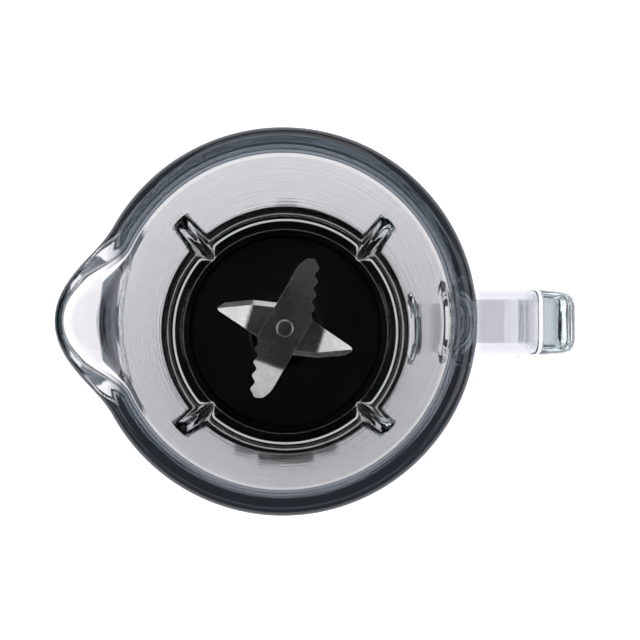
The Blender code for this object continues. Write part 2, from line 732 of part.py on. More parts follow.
def make_plate_screws(stand, finishes):
    head = BASE_BOTTOM_Z + 0.2 * MM
    profile = [(0, head), (3.4 * MM, head), (3.4 * MM, head + 1.1 * MM), (1.6 * MM, head + 1.1 * MM)]
    profile += [(1.6 * MM, 20 * MM), (0, 21 * MM)]
    for i, angle in enumerate(quarter_turns(SCREW_ANGLE)):
        screw = add(f"plate_screw_{i + 1}", turned(profile, 12), finishes["shaft"], stand)
        screw.location = (*on_circle(SCREW_CIRCLE_R, angle), 0)


def make_gland(stand, finishes):
    """The empty rubber cord gland in the back wall."""
    height = 27 * MM
    wall = wall_radius(height)
    seat = pivot("gland_axis", (0, wall, height), (math.radians(-90), 0, 0))
    seat.parent = stand
    profile = [
        (3.2 * MM, -8 * MM),
        (8.5 * MM, -8 * MM),
        (8.5 * MM, -5.6 * MM),
        (5.7 * MM, -5.6 * MM),
        (5.7 * MM, 1.6 * MM),
        (7 * MM, 1.6 * MM),
        (7 * MM, 2.6 * MM),
        (3.2 * MM, 2.6 * MM),
    ]
    add("cord_gland", turned(profile, 16), finishes["rubber"], seat)
    return tool("gland_hole", pin(6 * MM, -12 * MM, 8 * MM, 16), seat)


# ---------------------------------------------------------------- motor


def make_stator(stand, finishes):
    core = soft_block((-39 * MM, -33 * MM, STATOR_BOTTOM_Z), (39 * MM, 33 * MM, STATOR_TOP_Z), 7 * MM)
    core = add("stator_core", core, finishes["core"], stand)
    clear = 1 * MM
    bore = pin(STATOR_BORE_R, STATOR_BOTTOM_Z - clear, STATOR_TOP_Z + clear, 32)
    cut(core, tool("stator_bore", bore, stand))
    for side in (-1, 1):
        name = "left" if side < 0 else "right"
        outer = block((21 * MM, -24 * MM, 46 * MM), (26 * MM, 24 * MM, 90 * MM))
        coil = add(f"field_coil_{name}", outer, finishes["copper"], stand)
        under, over = STATOR_BOTTOM_Z - GAP, STATOR_TOP_Z + GAP
        inner = block((19 * MM, -18.2 * MM, under), (28 * MM, 18.2 * MM, over))
        window = tool(f"coil_window_{name}", inner, stand)
        for end in (-1, 1):
            low_y = min(end * 17.9, end * 24.3) * MM
            slot = block((20.7 * MM, low_y, 40 * MM), (26.3 * MM, low_y + 6.4 * MM, 96 * MM))
            slot = tool(f"coil_slot_{name}_{end + 1}", slot, stand)
            slot.rotation_euler.z = 0 if side > 0 else math.pi
            cut(core, slot)
        coil.rotation_euler.z = 0 if side > 0 else math.pi
        window.rotation_euler.z = coil.rotation_euler.z
        cut(coil, window)
        bolt_hole = turned_at(pin(2.4 * MM, 40 * MM, 96 * MM, 12), side * MOTOR_BOLT_X, 0)
        cut(core, tool(f"core_bolt_hole_{name}", bolt_hole, stand))


def make_brackets(stand, finishes):
    """Cross-shaped carriers of the two motor bearings, and the bolts that clamp the motor."""
    arm = 50 * MM
    bar = block((-arm, -10 * MM, 23 * MM), (arm, 10 * MM, 32 * MM))
    lower = add("lower_bracket", bar, finishes["core"], stand)
    cross = block((-10 * MM, -arm, 23 * MM), (10 * MM, arm, 32 * MM))
    join(lower, tool("bracket_cross", cross, stand))
    cut(lower, tool("lower_bearing_seat", pin(11.3 * MM, 20 * MM, 36 * MM), stand))
    upper = block((-37 * MM, -13 * MM, 104 * MM), (37 * MM, 13 * MM, 111 * MM))
    upper = add("upper_bracket", upper, finishes["core"], stand)
    cut(upper, tool("upper_bearing_seat", pin(11.3 * MM, 100 * MM, 115 * MM), stand))
    bore = MOTOR_SHAFT_R + 0.2 * MM
    add("lower_bearing", ring(bore, 11 * MM, 24 * MM, 31 * MM), finishes["shaft"], stand)
    add("upper_bearing", ring(bore, 11 * MM, 104 * MM, 111 * MM), finishes["shaft"], stand)
    for side, name in ((-1, "left"), (1, "right")):
        x = side * MOTOR_BOLT_X
        hole = turned_at(pin(2.4 * MM, 15 * MM, 120 * MM, 12), x, 0)
        hole = tool(f"bracket_bolt_hole_{name}", hole, stand)
        cut(lower, hole)
        cut(upper, hole)
        profile = [(0, 18 * MM), (2 * MM, 18 * MM), (2 * MM, 111.3 * MM)]
        profile += [(4 * MM, 111.3 * MM), (4 * MM, 114 * MM), (0, 114 * MM)]
        bolt = add(f"motor_bolt_{name}", turned(profile, 12), finishes["shaft"], stand)
        bolt.location.x = x
    for i, angle in enumerate(quarter_turns()):
        damper = ring(2.5 * MM, 6.5 * MM, PLATE_TOP_Z + 4 * MM + GAP, 23 * MM - GAP, 16)
        damper = add(f"motor_damper_{i + 1}", damper, finishes["rubber"], stand)
        damper.location = (*on_circle(DAMPER_CIRCLE_R, angle), 0)


def make_brushes(stand, finishes):
    height = 42 * MM
    for side, name in ((-1, "front"), (1, "rear")):
        turn = 0 if side > 0 else math.pi
        holder = block((-4.5 * MM, 15 * MM, height - 4.5 * MM), (4.5 * MM, 36 * MM, height + 4.5 * MM))
        holder = add(f"brush_holder_{name}", holder, finishes["bronze"], stand)
        channel = block((-3 * MM, 14 * MM, height - 3 * MM), (3 * MM, 33 * MM, height + 3 * MM))
        channel = tool(f"brush_channel_{name}", channel, stand)
        brush = block((-2.7 * MM, 11.6 * MM, height - 2.7 * MM), (2.7 * MM, 27 * MM, height + 2.7 * MM))
        brush = add(f"carbon_brush_{name}", brush, finishes["carbon"], stand)
        for piece in (holder, channel, brush):
            piece.rotation_euler.z = turn
        cut(holder, channel)


def make_rotor(stand, finishes):
    """Everything that turns with the motor shaft."""
    axis = pivot("motor_axis", (0, 0, 0))
    axis.parent = stand
    sleeve = MOTOR_SHAFT_R + GAP
    add("motor_shaft", pin(MOTOR_SHAFT_R, 21 * MM, 117 * MM), finishes["shaft"], axis)
    add("rotor_core", slotted_ring(sleeve, ROTOR_R), finishes["core"], axis)
    winding = [(sleeve, 84.4 * MM), (13 * MM, 84.4 * MM), (13.5 * MM, 87 * MM)]
    winding += [(11 * MM, 90 * MM), (sleeve, 90 * MM)]
    add("rotor_winding", turned(winding, 24), finishes["copper"], axis)
    add("commutator", ring(sleeve, 11 * MM, 37 * MM, 47 * MM), finishes["copper"], axis)
    fan = add("motor_fan", slab(fan_outline(), 92.6 * MM, 101 * MM), finishes["black"], axis)
    join(fan, tool("fan_disc", pin(27 * MM, 92 * MM, 93.5 * MM, 32), axis))
    cut(fan, tool("fan_bore", pin(sleeve, 90 * MM, 104 * MM), axis))
    top = COLLAR_BOTTOM_Z + 0.4 * MM
    body = [(0, 113 * MM), (10 * MM, 113 * MM), (13 * MM, 117 * MM), (13 * MM, top), (0, top)]
    drive = add("drive_coupling", turned(body, 32), finishes["rubber"], axis)
    cut(drive, tool("drive_bore", pin(sleeve, 110 * MM, 117.3 * MM), axis))
    socket = slab(star_outline(7.8 * MM, 6.4 * MM, 6), COLLAR_BOTTOM_Z - 12.8 * MM, top + 2 * MM)
    cut(drive, tool("drive_socket", socket, axis))


def fan_outline():
    """The fan's hub with eight straight vanes, seen along the shaft."""
    vanes, hub_r, tip_r, half = 8, 8 * MM, 26 * MM, 0.8 * MM
    outline = []
    for i in range(vanes):
        turn = Matrix.Rotation(math.tau * (i + 0.15) / vanes, 2)
        corners = ((hub_r, -half), (tip_r, -half), (tip_r, half), (hub_r, half))
        outline += [tuple(turn @ Vector(corner)) for corner in corners]
    return outline


def slotted_ring(inner, outer):
    """The rotor's stack: a ring with twelve narrow slots in its outside."""
    slots = 12
    outline = []
    for i in range(slots):
        slot_floor = outer - 5 * MM
        steps = ((-0.4, outer), (0.0, outer), (0.4, outer), (0.42, slot_floor), (0.58, slot_floor))
        for part, radius in steps:
            outline.append(on_circle(radius, math.tau * (i + part) / slots))
    hole = [on_circle(inner, math.atan2(y, x)) for x, y in outline]
    rings = []
    under, over = STATOR_BOTTOM_Z, STATOR_TOP_Z
    for points, height in ((hole, under), (outline, under), (outline, over), (hole, over)):
        rings.append([Vector((x, y, height)) for x, y in points])
    return loft(rings, closed_length=True)


# ---------------------------------------------------------------- controls


def panel_pivot(name, stand, height):
    """A frame on the panel's face: local +Z points out of the panel."""
    out = wall_radius(height) + PANEL_PROUD
    axis = pivot(name, (0, -out, height), (math.radians(90) - WALL_LEAN, 0, 0))
    axis.parent = stand
    return axis


def make_panel(stand, finishes, housing):
    frame = panel_pivot("panel_frame", stand, (KNOB_Z + BUTTON_Z) / 2 - 5 * MM)
    half_w, half_h = PANEL_WIDTH / 2, PANEL_HEIGHT / 2
    panel = soft_block((-half_w, -half_h, -PANEL_DEPTH), (half_w, half_h, 0), 8 * MM)
    panel = add("control_panel", panel, finishes["trim"], frame)
    inner = soft_block(
        (PANEL_SKIN - half_w, PANEL_SKIN - half_h, -2 * PANEL_DEPTH),
        (half_w - PANEL_SKIN, half_h - PANEL_SKIN, -PANEL_SKIN),
        6 * MM,
    )
    cut(panel, tool("panel_hollow", inner, frame))
    grown = 0.4 * MM
    reach_w, reach_h = half_w + grown, half_h + grown
    opening = soft_block((-reach_w, -reach_h, -3 * PANEL_DEPTH), (reach_w, reach_h, 10 * MM), 8 * MM)
    cut(housing, tool("panel_opening", opening, frame))
    return panel


def make_knob(stand, finishes, panel):
    axis = panel_pivot("knob_axis", stand, KNOB_Z)
    flutes, depth = 12, 0.5 * MM
    profile = [(KNOB_R - 1 * MM, 0.5 * MM), (KNOB_R, 1.5 * MM), (KNOB_R - 0.8 * MM, KNOB_HEIGHT - 1.2 * MM)]
    profile += [(KNOB_R - 2 * MM, KNOB_HEIGHT), (KNOB_R - 5 * MM, KNOB_HEIGHT - 0.4 * MM)]
    rings = []
    for radius, height in profile:
        points = []
        for i in range(flutes * 4):
            angle = math.tau * i / (flutes * 4)
            reach = radius - depth * (1 + math.cos(flutes * angle)) / 2
            points.append(Vector((*on_circle(reach, angle), height)))
        rings.append(points)
    knob = add("control_knob", loft(rings, closed_length=False), finishes["black"], axis)
    join(knob, tool("knob_stem", pin(3 * MM, -12 * MM, 1 * MM, 16), axis))
    under, over = KNOB_HEIGHT - 1 * MM, KNOB_HEIGHT + 1 * MM
    mark = block((-0.6 * MM, 6 * MM, under), (0.6 * MM, KNOB_R - 3.5 * MM, over))
    cut(knob, tool("knob_mark", mark, axis))
    cut(panel, tool("knob_hole", pin(3.6 * MM, -8 * MM, 4 * MM, 16), axis))
    switch = block((-13 * MM, -13 * MM, -26 * MM), (13 * MM, 13 * MM, -9.5 * MM))
    switch = add("rotary_switch", switch, finishes["trim"], axis)
    cut(switch, tool("switch_bore", pin(3.5 * MM, -14 * MM, -5 * MM, 16), axis))


def make_button(stand, finishes, panel):
    axis = panel_pivot("button_axis", stand, BUTTON_Z)
    under = PANEL_SKIN + GAP
    profile = [
        (0, -8 * MM),
        (2.2 * MM, -8 * MM),
        (2.2 * MM, -under - 2 * MM),
        (BUTTON_R + 1.3 * MM, -under - 2 * MM),
        (BUTTON_R + 1.3 * MM, -under),
        (BUTTON_R, -under),
        (BUTTON_R, 2.6 * MM),
        (BUTTON_R - 0.9 * MM, 3.4 * MM),
        (0, 3 * MM),
    ]
    add("pulse_button", turned(profile, 24), finishes["black"], axis)
    cut(panel, tool("button_hole", pin(BUTTON_R + 0.3 * MM, -8 * MM, 4 * MM), axis))
    switch = block((-6 * MM, -4.5 * MM, -18 * MM), (6 * MM, 4.5 * MM, -10.4 * MM))
    add("pulse_switch", switch, finishes["trim"], axis)
    low, high = -9.9 * MM, -under - 2.5 * MM
    coil_spring("pulse_spring", 0.35 * MM, 3.6 * MM, low, high, 3, finishes["shaft"], axis)


def make_interlock(stand, finishes):
    """The sprung pin that the collar holds down while the jug is on the base."""
    x, y = on_circle(PIN_CIRCLE_R, PIN_ANGLE)
    axis = pivot("interlock_axis", (x, y, 0))
    axis.parent = stand
    top = WELL_FLOOR_Z - 0.2 * MM
    profile = [
        (0, 112 * MM),
        (1.4 * MM, 112 * MM),
        (1.4 * MM, 120.5 * MM),
        (3.8 * MM, 120.5 * MM),
        (3.8 * MM, 122 * MM),
        (2 * MM, 122 * MM),
        (2 * MM, top - 0.4 * MM),
        (1.6 * MM, top),
        (0, top),
    ]
    add("interlock_pin", turned(profile, 16), finishes["trim"], axis)
    coil_spring("interlock_spring", 0.35 * MM, 2.7 * MM, 108.5 * MM, 120 * MM, 5, finishes["shaft"], axis)
    switch = block((-4 * MM, -7 * MM, 97 * MM), (4 * MM, 7 * MM, 108 * MM))
    add("interlock_switch", switch, finishes["trim"], axis)


def make_board(stand, finishes):
    """The speed control board, upright behind the motor."""
    board = block((-24 * MM, 57 * MM, PLATE_TOP_Z + GAP), (24 * MM, 58.6 * MM, 58 * MM))
    add("control_board", board, finishes["board"], stand)


def main():
    for old in list(bpy.data.objects):
        bpy.data.objects.remove(old)
    finishes = make_finishes()
    stand = pivot("jug_axis", (AXIS_X, 0, 0))
    make_jug(stand, finishes)
    make_collar(stand, finishes)
    make_seal(stand, finishes)
    make_holder(stand, finishes)
    make_blades(stand, finishes)
    housing = make_housing(stand, finishes)
    make_seat(stand, finishes)
    make_plate(stand, finishes)
    make_feet(stand, finishes)
    make_plate_screws(stand, finishes)
    cut(housing, make_gland(stand, finishes))
    make_stator(stand, finishes)
    make_brackets(stand, finishes)
    make_brushes(stand, finishes)
    make_rotor(stand, finishes)
    panel = make_panel(stand, finishes, housing)
    make_knob(stand, finishes, panel)
    make_button(stand, finishes, panel)
    make_interlock(stand, finishes)
    make_board(stand, finishes)
    bpy.context.view_layer.update()


main()
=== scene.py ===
"""Looks of the countertop blender: its glass, steel and plastics, the studio and the camera.

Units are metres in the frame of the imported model. The jug's axis stands at x = AXIS.x.
Lathe outlines are lists of (radius, height, fillet radius) corners.
"""

import json
import math

import bmesh
import bpy
from mathutils import Matrix, Vector


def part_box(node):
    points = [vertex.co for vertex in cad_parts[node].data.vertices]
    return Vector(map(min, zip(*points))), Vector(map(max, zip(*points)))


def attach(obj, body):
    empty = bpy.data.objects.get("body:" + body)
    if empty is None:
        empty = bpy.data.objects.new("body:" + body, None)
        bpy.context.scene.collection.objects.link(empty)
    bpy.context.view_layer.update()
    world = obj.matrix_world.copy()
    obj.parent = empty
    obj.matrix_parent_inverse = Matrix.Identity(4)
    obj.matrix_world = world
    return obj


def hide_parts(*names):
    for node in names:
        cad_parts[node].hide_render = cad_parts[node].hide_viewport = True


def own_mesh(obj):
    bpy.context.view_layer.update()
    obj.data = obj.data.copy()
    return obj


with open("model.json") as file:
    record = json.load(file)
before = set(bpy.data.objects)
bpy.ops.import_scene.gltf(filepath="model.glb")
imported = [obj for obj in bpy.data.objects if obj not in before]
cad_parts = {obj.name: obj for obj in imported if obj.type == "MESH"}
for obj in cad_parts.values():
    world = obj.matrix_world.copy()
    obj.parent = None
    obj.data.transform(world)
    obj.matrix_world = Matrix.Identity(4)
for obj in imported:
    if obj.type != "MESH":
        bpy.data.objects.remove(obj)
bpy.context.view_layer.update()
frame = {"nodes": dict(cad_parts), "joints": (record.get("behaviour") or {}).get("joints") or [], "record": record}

MM = 0.001
NODES = frame["nodes"]
JOINTS = {joint["name"]: joint for joint in frame["joints"]}
AXIS = Vector((JOINTS["motor_spin"]["pos_m"][0], JOINTS["motor_spin"]["pos_m"][1], 0))


def low(node):
    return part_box(node)[0]


def high(node):
    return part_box(node)[1]


# Heights and radii that the frame gives
RIM_Z = high("glass_jug").z
JUG_BOTTOM_Z = low("glass_jug").z
RIM_R = high("glass_jug").y
HANDLE_REACH = high("glass_jug").x - AXIS.x
COLLAR_LOW = low("jug_collar").z
COLLAR_TOP = high("jug_collar").z
COLLAR_R = high("jug_collar").y
BASE_R = high("base_housing").y
BASE_LOW = low("base_housing").z
BASE_TOP = high("base_housing").z
SEAT_R = high("jug_seat").y

# Jug wall
RIM_INNER_R = RIM_R - 9 * MM
NECK_Z = RIM_Z - 16 * MM
NECK_R = 65.7 * MM
FOOT_R = 56.2 * MM
FLOOR_R = 51.8 * MM
MOUTH_R = 46 * MM
INNER_FLOOR_Z = JUG_BOTTOM_Z + 8 * MM
WALL_STEPS = 288

# Pouring lip
LIP_REACH = AXIS.x - low("glass_jug").x - RIM_R
LIP_INNER_REACH = LIP_REACH + 4.6 * MM
LIP_HALF_ANGLE = math.radians(29)
LIP_INNER_HALF_ANGLE = math.radians(26)
LIP_DEPTH = 20 * MM
LIP_CURVE = 1.9
LIP_BEAD = 5 * MM
LIP_FOOT = LIP_DEPTH + LIP_BEAD

# Thread on the outside of the glass foot
THREAD_LOW = JUG_BOTTOM_Z + 2 * MM
THREAD_TOP = COLLAR_TOP - 3 * MM
THREAD_PITCH = 4 * MM
THREAD_DEPTH = 1.1 * MM

# Mixing ribs
RIB_COUNT = 4
RIB_PROUD = 6.3 * MM
RIB_PROUD_AT_TOP = 2.2 * MM
RIB_HALF_WIDTH = 5 * MM
RIB_LOW = JUG_BOTTOM_Z + 8 * MM
RIB_TOP = RIM_Z - 60 * MM
RIB_END = 9 * MM

# Handle
HANDLE_WIDTH = 24 * MM
GRIP_THICK = 15.7 * MM
BRIDGE_THICK = 20 * MM
HANDLE_TOP = RIM_Z - 15 * MM
HANDLE_LOW = JUG_BOTTOM_Z + 55 * MM
HANDLE_BEND = 14 * MM
ROOT_FLARE = 4 * MM

# Glass: its index, its colour through the depth, and the painted shade and painted glow of some of its zones
GLASS_IOR = 1.5
GLASS_DEPTH_COLOUR = (0.55, 0.75, 0.80)
GLASS_DENSITY = 4.5
# Painted shade: the handle's bridge and the lip's trough are greyed so that what is seen through them looks
# darker.
BRIDGE_PAINTED_SHADE = (0.72, 0.715, 0.74)
LIP_PAINTED_SHADE = (0.685, 0.685, 0.69)
# Painted shade: the rim's crown and the lip's throat are darkened towards black.
RIM_PAINTED_SHADE = (0.014, 0.018, 0.024)
# Painted light: the darkened crown and throat glow faintly blue-grey.
RIM_PAINTED_GLOW = (0.018, 0.021, 0.026)

# Blade unit
COLLAR_FLUTES = 72
COLLAR_STEPS = 432
SPIGOT_R = MOUTH_R - 0.4 * MM
HOUSING_R = 7.2 * MM
SEAL_R = 51.2 * MM
SEAL_OUTER_R = 53.2 * MM
UPPER_TURN = math.radians(70)
LOWER_TURN = math.radians(162.5)
BEND_AT = 15.9 * MM
BEND_SPAN = 3 * MM
UPPER_BEND = math.radians(24)
LOWER_BEND = math.radians(-20)
SHAFT_HOLE = 3.3 * MM
BLADE_GAP = 0.3 * MM
UPPER_THICK = 1.7 * MM
LOWER_THICK = 1.6 * MM
GRIND_WIDTH = 2.1 * MM
GROUND_EDGE = 0.35 * MM
LOWER_LEADING = ((6.5, 9.5), (16.4, 7.6), (27.8, 2.9))

# Motor base
BASE_WALL = 3 * MM
BASE_SHOULDER_R = 66.2 * MM
BASE_SHOULDER_Z = BASE_TOP - 8 * MM
WALL_LEAN = math.radians(8.48)
PANEL_HALF_WIDTH = 29 * MM
PANEL_HALF_HEIGHT = 39 * MM
PANEL_DEPTH = 9 * MM
PANEL_SKIN = 2.5 * MM
PANEL_PROUD = 0.6 * MM
PANEL_Z = 81.5 * MM
KNOB_Z = 72 * MM
KNOB_R = 17.5 * MM
KNOB_HEIGHT = 6.4 * MM
KNOB_TURN = math.radians(135)
KNOB_FLUTES = 36
KNOB_STEPS = 288
POINTER_R = KNOB_R - 7.2 * MM
TICK_COUNT = 4
BUTTON_Z = 101 * MM
BUTTON_R = 7.5 * MM
SPRING_R = 3.6 * MM
SPRING_WIRE = 0.35 * MM
SPRING_DEPTH = 9.9 * MM
SPRING_TURNS = 3
SEAT_HOLE_R = 15 * MM

# The camera stands above the rim, a little towards the front
CAMERA_OFFSET = Vector((4.3 * MM, -18.7 * MM))
CAMERA_HEIGHT = 660 * MM
CAMERA_AIM = Vector((13.2 * MM, 0.2 * MM))
CAMERA_LENS = 104
CAMERA_SENSOR = 36

# Studio. The world's strengths act on the dark grey that a new background has
FLOOR_HALF = 12.0
FLOOR_THICK = 20 * MM
FLOOR_GLOW = 1.0
FLOOR_COLOUR = (1.01, 1.0, 1.055)
WORLD_LOW = 0.5
WORLD_HIGH = 0.32
# Painted light: the silicone seal glows by this much, though it is no lamp.
SEAL_PAINTED_GLOW = 0.5


# ---------------------------------------------------------------- small tools


def on_circle(radius, angle, height=0.0):
    return Vector((radius * math.cos(angle), radius * math.sin(angle), height))


def smooth_step(t):
    t = min(max(t, 0.0), 1.0)
    return t * t * (3 - 2 * t)


def cosine_bump(t):
    """1 at t = 0, falling smoothly to 0 at t = 1."""
    return math.cos(math.radians(90) * min(abs(t), 1.0)) ** 2


def rounded(corners, steps=6, closed=True):
    """The outline through these (x, y, fillet radius) corners, with each fillet as an arc."""
    points = []
    count = len(corners)
    for i, (x, y, radius) in enumerate(corners):
        here = Vector((x, y))
        is_end = not closed and i in (0, count - 1)
        if is_end or radius <= 0:
            points.append(here)
            continue
        before = (Vector(corners[i - 1][:2]) - here).normalized()
        after = (Vector(corners[(i + 1) % count][:2]) - here).normalized()
        half = before.angle(after) / 2
        if math.pi / 2 - half < math.radians(0.5):
            points.append(here)
            continue
        reach = radius / math.tan(half)
        middle = here + (before + after).normalized() * (radius / math.sin(half))
        start = here + before * reach - middle
        sweep = start.angle_signed(here + after * reach - middle)
        for k in range(steps + 1):
            points.append(middle + Matrix.Rotation(-sweep * k / steps, 2) @ start)
    return points


def refined(points, longest, closed=True):
    """The same outline with its straight stretches cut into pieces no longer than this."""
    out = []
    count = len(points) if closed else len(points) - 1
    for i in range(count):
        here, there = points[i], points[(i + 1) % len(points)]
        pieces = max(1, math.ceil((there - here).length / longest))
        out += [here.lerp(there, k / pieces) for k in range(pieces)]
    if not closed:
        out.append(points[-1])
    return out


def loft(rings, closed_length):
    """Faces between rings of equally many points. A one-point ring closes an end."""
    build = bmesh.new()
    made = [[build.verts.new(point) for point in ring] for ring in rings]
    count = len(made) if closed_length else len(made) - 1
    for i in range(count):
        here, there = made[i], made[(i + 1) % len(made)]
        around = max(len(here), len(there))
        for j in range(around):
            k = (j + 1) % around
            corners = [here[j % len(here)], here[k % len(here)]]
            corners += [there[k % len(there)], there[j % len(there)]]
            build.faces.new(list(dict.fromkeys(corners)))
    if not closed_length:
        for end in (made[0], made[-1]):
            if len(end) > 2:
                build.faces.new(end)
    return build


def turned(points, steps=128):
    """A lathe shape from (radius, height) points: a closed ring, or a line from axis to axis."""
    rings = []
    for point in points:
        if point.x < 1e-7:
            rings.append([Vector((0, 0, point.y))])
        else:
            rings.append([on_circle(point.x, math.tau * i / steps, point.y) for i in range(steps)])
    return loft(rings, closed_length=len(rings[0]) > 1)


def lathed(corners, steps, longest, around):
    """A lathe shape from a closed ring of (radius, height, fillet radius) corners."""
    return turned(refined(rounded(corners, steps), longest), around)


def rod(radius, under, over, steps=48):
    """A plain cylinder about local Z, between two heights."""
    corners = ((0, under), (radius, under), (radius, over), (0, over))
    return turned([Vector(corner) for corner in corners], steps)


def rectangle(half_w, half_h, radius):
    """The corners of a rectangle about the origin, each with this fillet radius."""
    signs = ((1, 1), (-1, 1), (-1, -1), (1, -1))
    return [(half_w * x, half_h * y, radius) for x, y in signs]


def add_box(build, lowest, highest, place=Matrix()):
    """Adds a box with these opposite corners to the mesh."""
    lowest, highest = Vector(lowest), Vector(highest)
    fit = Matrix.Translation((lowest + highest) / 2) @ Matrix.Diagonal((*(highest - lowest), 1))
    bmesh.ops.create_cube(build, size=1, matrix=place @ fit)


def add(name, build, material, smooth=35):
    bmesh.ops.recalc_face_normals(build, faces=build.faces)
    mesh = bpy.data.meshes.new(name)
    build.to_mesh(mesh)
    build.free()
    mesh.shade_smooth()
    mesh.set_sharp_from_angle(angle=math.radians(smooth))
    piece = bpy.data.objects.new(name, mesh)
    bpy.context.scene.collection.objects.link(piece)
    if material:
        mesh.materials.append(material)
    return piece


def combined(piece, shapes, operation):
    """The piece after exact Booleans with these shapes, which are used up."""
    for shape in shapes:
        modifier = piece.modifiers.new("combine", "BOOLEAN")
        modifier.object = shape
        modifier.operation = operation
        modifier.solver = "EXACT"
    settle(piece)
    for shape in shapes:
        bpy.data.objects.remove(shape)
    return piece


def settle(piece, smooth=35):
    """Applies the piece's modifiers to its mesh."""
    bpy.context.view_layer.update()
    graph = bpy.context.evaluated_depsgraph_get()
    mesh = bpy.data.meshes.new_from_object(piece.evaluated_get(graph))
    piece.modifiers.clear()
    piece.data = mesh
    mesh.shade_smooth()
    mesh.set_sharp_from_angle(angle=math.radians(smooth))
    return piece


def bevelled(piece, width, segments=2, limit=30):
    modifier = piece.modifiers.new("edges", "BEVEL")
    modifier.width = width
    modifier.segments = segments
    modifier.limit_method = "ANGLE"
    modifier.angle_limit = math.radians(limit)
    return settle(piece, smooth=12)


def placed(piece, matrix):
    piece.data.transform(matrix)
    return piece


def on_axis(piece):
    return placed(piece, Matrix.Translation(AXIS))


def show(piece, body, slot, *nodes):
    """The piece rides on a body and stands for these CAD nodes."""
    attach(piece, body)
    if nodes:
        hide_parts(*nodes)
    return piece


# ---------------------------------------------------------------- materials


class Finish:
    """A Principled material and short calls for the nodes that feed it."""

    def __init__(self, name, colour, roughness, metallic=0.0):
        self.material = bpy.data.materials.new(name)
        self.material.use_nodes = True
        self.tree = self.material.node_tree
        self.shader = self.tree.nodes["Principled BSDF"]
        self.shader.inputs["Base Color"].default_value = (*colour, 1)
        self.shader.inputs["Roughness"].default_value = roughness
        self.shader.inputs["Metallic"].default_value = metallic
        self.place = self.tree.nodes.new("ShaderNodeTexCoord").outputs["Object"]

    def node(self, kind, **values):
        made = self.tree.nodes.new(kind)
        for name, value in values.items():
            setattr(made, name, value)
        return made

    def link(self, source, target):
        self.tree.links.new(source, target)

    def stretched(self, scale, rotation=(0, 0, 0), location=(0, 0, 0)):
        """Object coordinates, scaled differently along each axis."""
        mapping = self.node("ShaderNodeMapping")
        mapping.inputs["Scale"].default_value = scale
        mapping.inputs["Rotation"].default_value = rotation
        mapping.inputs["Location"].default_value = location
        self.link(self.place, mapping.inputs["Vector"])
        return mapping.outputs["Vector"]

    def noise(self, scale, detail=4.0, rough=0.6, vector=None):
        made = self.node("ShaderNodeTexNoise")
        made.inputs["Scale"].default_value = scale
        made.inputs["Detail"].default_value = detail
        made.inputs["Roughness"].default_value = rough
        self.link(vector or self.place, made.inputs["Vector"])
        return made.outputs["Fac"]

    def ramp(self, value, low_in, high_in, low_out, high_out):
        made = self.node("ShaderNodeMapRange")
        made.inputs["From Min"].default_value = low_in
        made.inputs["From Max"].default_value = high_in
        made.inputs["To Min"].default_value = low_out
        made.inputs["To Max"].default_value = high_out
        self.link(value, made.inputs["Value"])
        return made.outputs["Result"]

    def rise(self, value, start, end):
        """A mask that goes from 0 at start to 1 at end."""
        return self.ramp(value, start, end, 0, 1)

    def fall(self, value, start, end):
        """A mask that goes from 1 at start to 0 at end."""
        return self.ramp(value, start, end, 1, 0)

    def arithmetic(self, operation, first, second):
        made = self.node("ShaderNodeMath", operation=operation)
        self.link(first, made.inputs[0])
        self.link(second, made.inputs[1])
        return made.outputs[0]

    def product(self, first, *others):
        for other in others:
            first = self.arithmetic("MULTIPLY", first, other)
        return first

    def larger(self, first, second):
        return self.arithmetic("MAXIMUM", first, second)

    def radius(self):
        """Distance from the jug's axis."""
        flat = self.stretched((1, 1, 0), location=(-AXIS.x, 0, 0))
        made = self.node("ShaderNodeVectorMath", operation="LENGTH")
        self.link(flat, made.inputs[0])
        return made.outputs["Value"]

    def blended(self, value, first, second):
        """A blend of two colours by a mask. The first may be the output of another blend."""
        made = self.node("ShaderNodeMix", data_type="RGBA")
        if isinstance(first, tuple):
            made.inputs[6].default_value = (*first, 1)
        else:
            self.link(first, made.inputs[6])
        made.inputs[7].default_value = (*second, 1)
        self.link(value, made.inputs[0])
        return made.outputs[2]

    def mix_colour(self, value, first, second):
        """Makes the base colour a blend of two colours by a mask."""
        self.link(self.blended(value, first, second), self.shader.inputs["Base Color"])

    def vary_roughness(self, value, low_in, high_in, low_out, high_out):
        varied = self.ramp(value, low_in, high_in, low_out, high_out)
        self.link(varied, self.shader.inputs["Roughness"])

    def bump(self, value, height, strength=1.0):
        made = self.node("ShaderNodeBump")
        made.inputs["Strength"].default_value = strength
        made.inputs["Distance"].default_value = height
        self.link(value, made.inputs["Height"])
        last = self.shader.inputs["Normal"]
        if last.links:
            self.link(last.links[0].from_socket, made.inputs["Normal"])
        self.link(made.outputs["Normal"], last)


def scaled(colour, factor):
    return tuple(channel * factor for channel in colour)


def glass_finish():
    """Thick moulded glass: clear, a little blue-green through its depth, faintly rippled."""
    made = Finish("jug_glass", (1, 1, 1), 0.0)
    made.shader.inputs["Transmission Weight"].default_value = 1.0
    made.shader.inputs["IOR"].default_value = GLASS_IOR
    ripple = made.noise(55, 2.0, 0.5, made.stretched((1, 1, 0.35)))
    made.bump(ripple, 0.25 * MM, 0.35)
    streaks = made.noise(1.0, 3.0, 0.6, made.stretched((14, 14, 160)))
    made.bump(streaks, 0.4 * MM, 0.12)
    haze = made.noise(240, 3.0, 0.6)
    made.vary_roughness(haze, 0.35, 0.8, 0.0, 0.035)
    # Painted shade and a painted glow in some zones of the glass.
    paint_glass_shade_and_glow(made)
    depth = made.node("ShaderNodeVolumeAbsorption")
    depth.inputs["Color"].default_value = (*GLASS_DEPTH_COLOUR, 1)
    depth.inputs["Density"].default_value = GLASS_DENSITY
    out = made.tree.nodes["Material Output"]
    made.link(depth.outputs["Volume"], out.inputs["Volume"])
    return made.material


